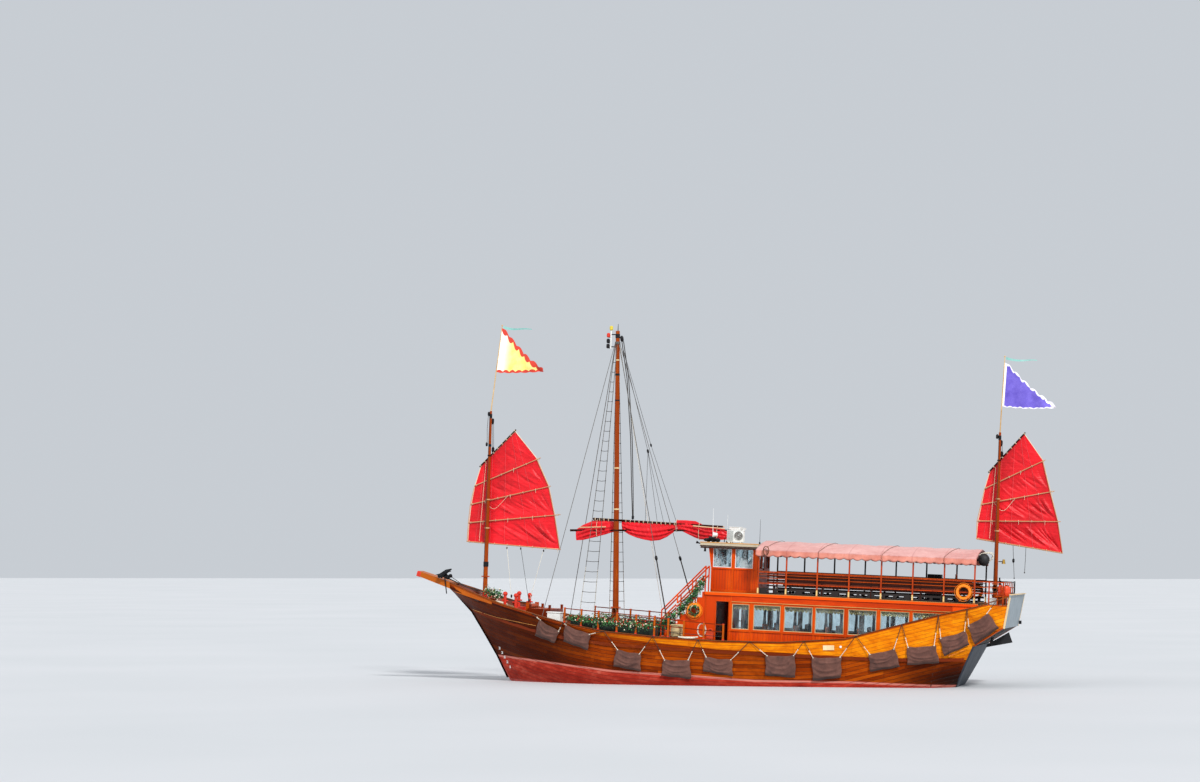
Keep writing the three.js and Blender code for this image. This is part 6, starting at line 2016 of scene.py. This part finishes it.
def mainsail_lines():
    """The halyard and the lifts that hold the furled sail up; they turn with it."""
    ropes = Shape()
    for dx, y in ((0, 0.02), (0.075, 0.07)):
        halyard = ((-6.10, 0, 16.30), (-5.78, 0.25, 14.50), (-5.50, 0.6, 11.6), (-5.37, 0.85, 9.26))
        path = [(x + dx, lerp(y, MAIN_Y, share), z) for x, share, z in halyard]
        ropes.tube(path + [(-5.27 + dx * 0.5, MAIN_Y, 7.80)], 0.022, 8, 0)
    block(ropes, (-5.25, MAIN_Y, 7.74), 0.11, 1)
    low = Vector((-4.63, MAIN_Y, 10.98))
    high = low + Vector((0.14, 0, 0.3))
    ropes.tube([(-6.08, 0.05, 16.1), low], 0.011, 6, 0)
    ropes.tube([(-6.06, 0.07, 16.0), high], 0.011, 6, 0)
    block(ropes, low, 0.1, 1, (1.45, 0, -5.1))
    block(ropes, high, 0.08, 1, (1.45, 0, -5.1))
    for fork, x, z in ((low, -4.62, 7.57), (low, -4.02, 7.56), (low, -3.70, 7.55), (high, -3.05, 7.56)):
        ropes.tube([fork, (x, MAIN_Y, z)], 0.010, 6, 0)
    ropes.make("mainsail_lines", [rope_black, iron_black], "furled_mainsail")


SHEET_PARTING = 4.62


def fore_sheets():
    """Sheets from the foot of the foresail: the upper part of each turns with the sail."""
    upper, lower = Shape(), Shape()
    for top, foot, slot in (
        ((-11.54, 0.2, 6.04), (-11.05, -0.3, 3.55), 1),
        ((-10.83, 0.2, 6.04), (-10.15, -0.3, 3.38), 0),
        ((-9.66, 0.2, 5.98), (-10.15, -0.28, 3.38), 1),
    ):
        top, foot = Vector(top), Vector(foot)
        share = (top.z - SHEET_PARTING) / (top.z - foot.z)
        upper.tube([top, top.lerp(foot, share)], 0.011, 6, slot)
        block(upper, top - Vector((0, 0, 0.05)), 0.06, 2)
        lower.tube([top.lerp(foot, share + 0.015), foot], 0.011, 6, slot)
        block(lower, foot + Vector((0, 0, 0.1)), 0.08, 2)
    upper.make("fore_sheets_upper", [rope_black, rope_pale, iron_black], "fore_lugsail")
    lower.make("fore_sheets_lower", [rope_black, rope_pale, iron_black])


def mizzen_tail():
    """The mizzen sheet's two tails, as they hang from the foot of the sail."""
    spar = level_tree("mizzen_battens")
    for name, path in (
        ("long", [(13.16, 0.2, 7.15), (13.2, 0.2, 6.5), (13.26, 0.2, 5.62)]),
        ("short", [(13.76, 0.2, 7.07), (13.75, 0.2, 6.4), (13.73, 0.2, 5.9)]),
    ):
        path[0] = spar.find_nearest(Vector(path[0]))[0] - Vector((0, 0, 0.012))
        end = Shape()
        end.ball(Vector(path[-1]) - Vector((0, 0, 0.02)), 0.032, 0, 6, 8)
        if name == "long":
            block(end, Vector(path[1]) - Vector((0, 0, 0.08)), 0.1, 1)
        knot = end.make(f"mizzen_sheet_{name}_end", [rope_black, iron_black], "mizzen_lugsail")
        free_rope(f"mizzen_sheet_{name}", smooth_path(path, 8), 0.022, rope_black,
                  "mizzen_lugsail")


ladder()
mast_fittings()
falls()
mainsail_lines()
fore_sheets()
mizzen_tail()

# Painted shade inside the saloon, and the boards under the benches, painted dark for their shade

SHADE_PANEL_Y = (-2.335, -2.325)
TOE_Y = (-2.31, -2.295)


def saloon_shade_panels():
    """Painted shade: dark panels on the inner faces round the saloon's windows, seen through the glass, and
    one behind the doorway.
    """
    inside = Shape()
    edges = [0.30] + [x for window in WINDOWS for x in window] + [10.55]
    for a, b in zip(edges[::2], edges[1::2]):
        inside.box(a, b, *SHADE_PANEL_Y, SILL - 0.02, HEAD + 0.02)
    inside.box(0.30, 10.55, *SHADE_PANEL_Y, 2.2, SILL - 0.02)
    inside.box(-0.78, -0.77, -2.30, 0, 1.95, 3.95)
    inside.box(0.30, 10.55, *SHADE_PANEL_Y, HEAD + 0.02, 4.2)
    inside.make("saloon_painted_shade", [painted_shade_dark], smooth=False, both=True)


def toe_boards():
    """Boards along the rail's foot, painted dark as the shade under the benches, with gaps between the blocks
    that part them.
    """
    boards = Shape()
    boards.box(1.66, 11.66, *TOE_Y, 4.37, 4.44)
    boards.box(1.66, 11.66, *TOE_Y, 4.55, 4.65)
    x = 1.66
    step = 0
    while x < 11.5:
        wide = 0.14 if step % 3 else 0.34
        boards.box(x, min(x + wide, 11.66), *TOE_Y, 4.44, 4.55)
        x += wide + 0.36
        step += 1
    boards.make("toe_boards", [painted_shade_dark], smooth=False, both=True)


saloon_shade_panels()
toe_boards()

# The solids' own finishes; the cloths and the mats stand for the rest of them


def pair(stem):
    return [f"{stem}_port", f"{stem}_starboard"]


def dress_nodes():
    for finish, names in (
        (hull_body, ["hull", "keel"]),
        (band_wood, ["bow_platform"]),
        (rail_wood, ["bulwark", "fore_locker"] + pair("waist_rail")),
        (cap_wood, ["rail_cap"]),
        (wale_wood, pair("wale")),
        (transom_paint, ["transom_upper"]),
        (lower_transom_paint, ["transom_lower"]),
        (cabin_wood, ["stairs", "saloon_wall_front", "saloon_wall_aft", "saloon_bulkhead"]),
        (cabin_wood, pair("saloon_wall")),
        (cabin_wood, ["wheelhouse_shell", "wheelhouse_door"]),
        (glass, pair("saloon_glass")),
        (wheelhouse_pane, ["wheelhouse_glass"]),
        (deck_wood, ["upper_deck"]),
        (fascia_wood, pair("fascia")),
        (roof_paint, ["wheelhouse_roof"]),
        (enamel, pair("air_conditioner")),
        (awning_post_finish(), ["canopy_frame"]),
        (bench_wood, pair("bench")),
        (ring_orange, ["life_ring_fore"] + pair("life_ring_aft")),
        (iron_black, ["anchor"]),
        (signal_red, ["bitts"]),
        (mast_wood, ["foremast", "mainmast", "mizzenmast"]),
        (yard_wood, ["fore_yard", "mizzen_yard", "main_boom"]),
        (batten_wood, ["fore_battens", "mizzen_battens"]),
        (rope_stay, ["standing_rigging"]),
        (bronze, ["propeller"]),
        (tar_black, ["rudder", "stern_rudder"]),
    ):
        for name in names:
            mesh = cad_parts[name].data
            mesh.materials.clear()
            mesh.materials.append(finish)


dress_nodes()

# Floor at the waterline, light and sky

FLOOR_REACH = 1500


def make_stage():
    corners = [(-1, -1), (1, -1), (1, 1), (-1, 1)]
    mesh = bpy.data.meshes.new("floor")
    mesh.from_pydata([(x * FLOOR_REACH, y * FLOOR_REACH, 0) for x, y in corners], [], [(0, 1, 2, 3)])
    finish = Finish("floor_pale", 0.7)
    finish.colour(finish.ramp(finish.noise(0.05, 2), [(0.3, "#c2c4c6"), (0.7, "#c8c9cb")]))
    mesh.materials.append(finish.material)
    plane = bpy.data.objects.new("floor", mesh)
    bpy.context.scene.collection.objects.link(plane)
    world = bpy.data.worlds.new("studio")
    world.use_nodes = True
    sky = world.node_tree.nodes["Background"].inputs
    sky["Color"].default_value = linear("#e3e9f0")
    sky["Strength"].default_value = 0.75
    bpy.context.scene.world = world
    bpy.context.scene.view_settings.view_transform = "Standard"
    for name, aim, power, spread in (("key", (50, 0, 38), 3.1, 9), ("fill", (62, 0, -50), 0.8, 60)):
        data = bpy.data.lights.new(name, "SUN")
        data.energy = power
        data.angle = math.radians(spread)
        lamp = bpy.data.objects.new(name, data)
        lamp.rotation_euler = Euler(tuple(math.radians(a) for a in aim))
        bpy.context.scene.collection.objects.link(lamp)


make_stage()
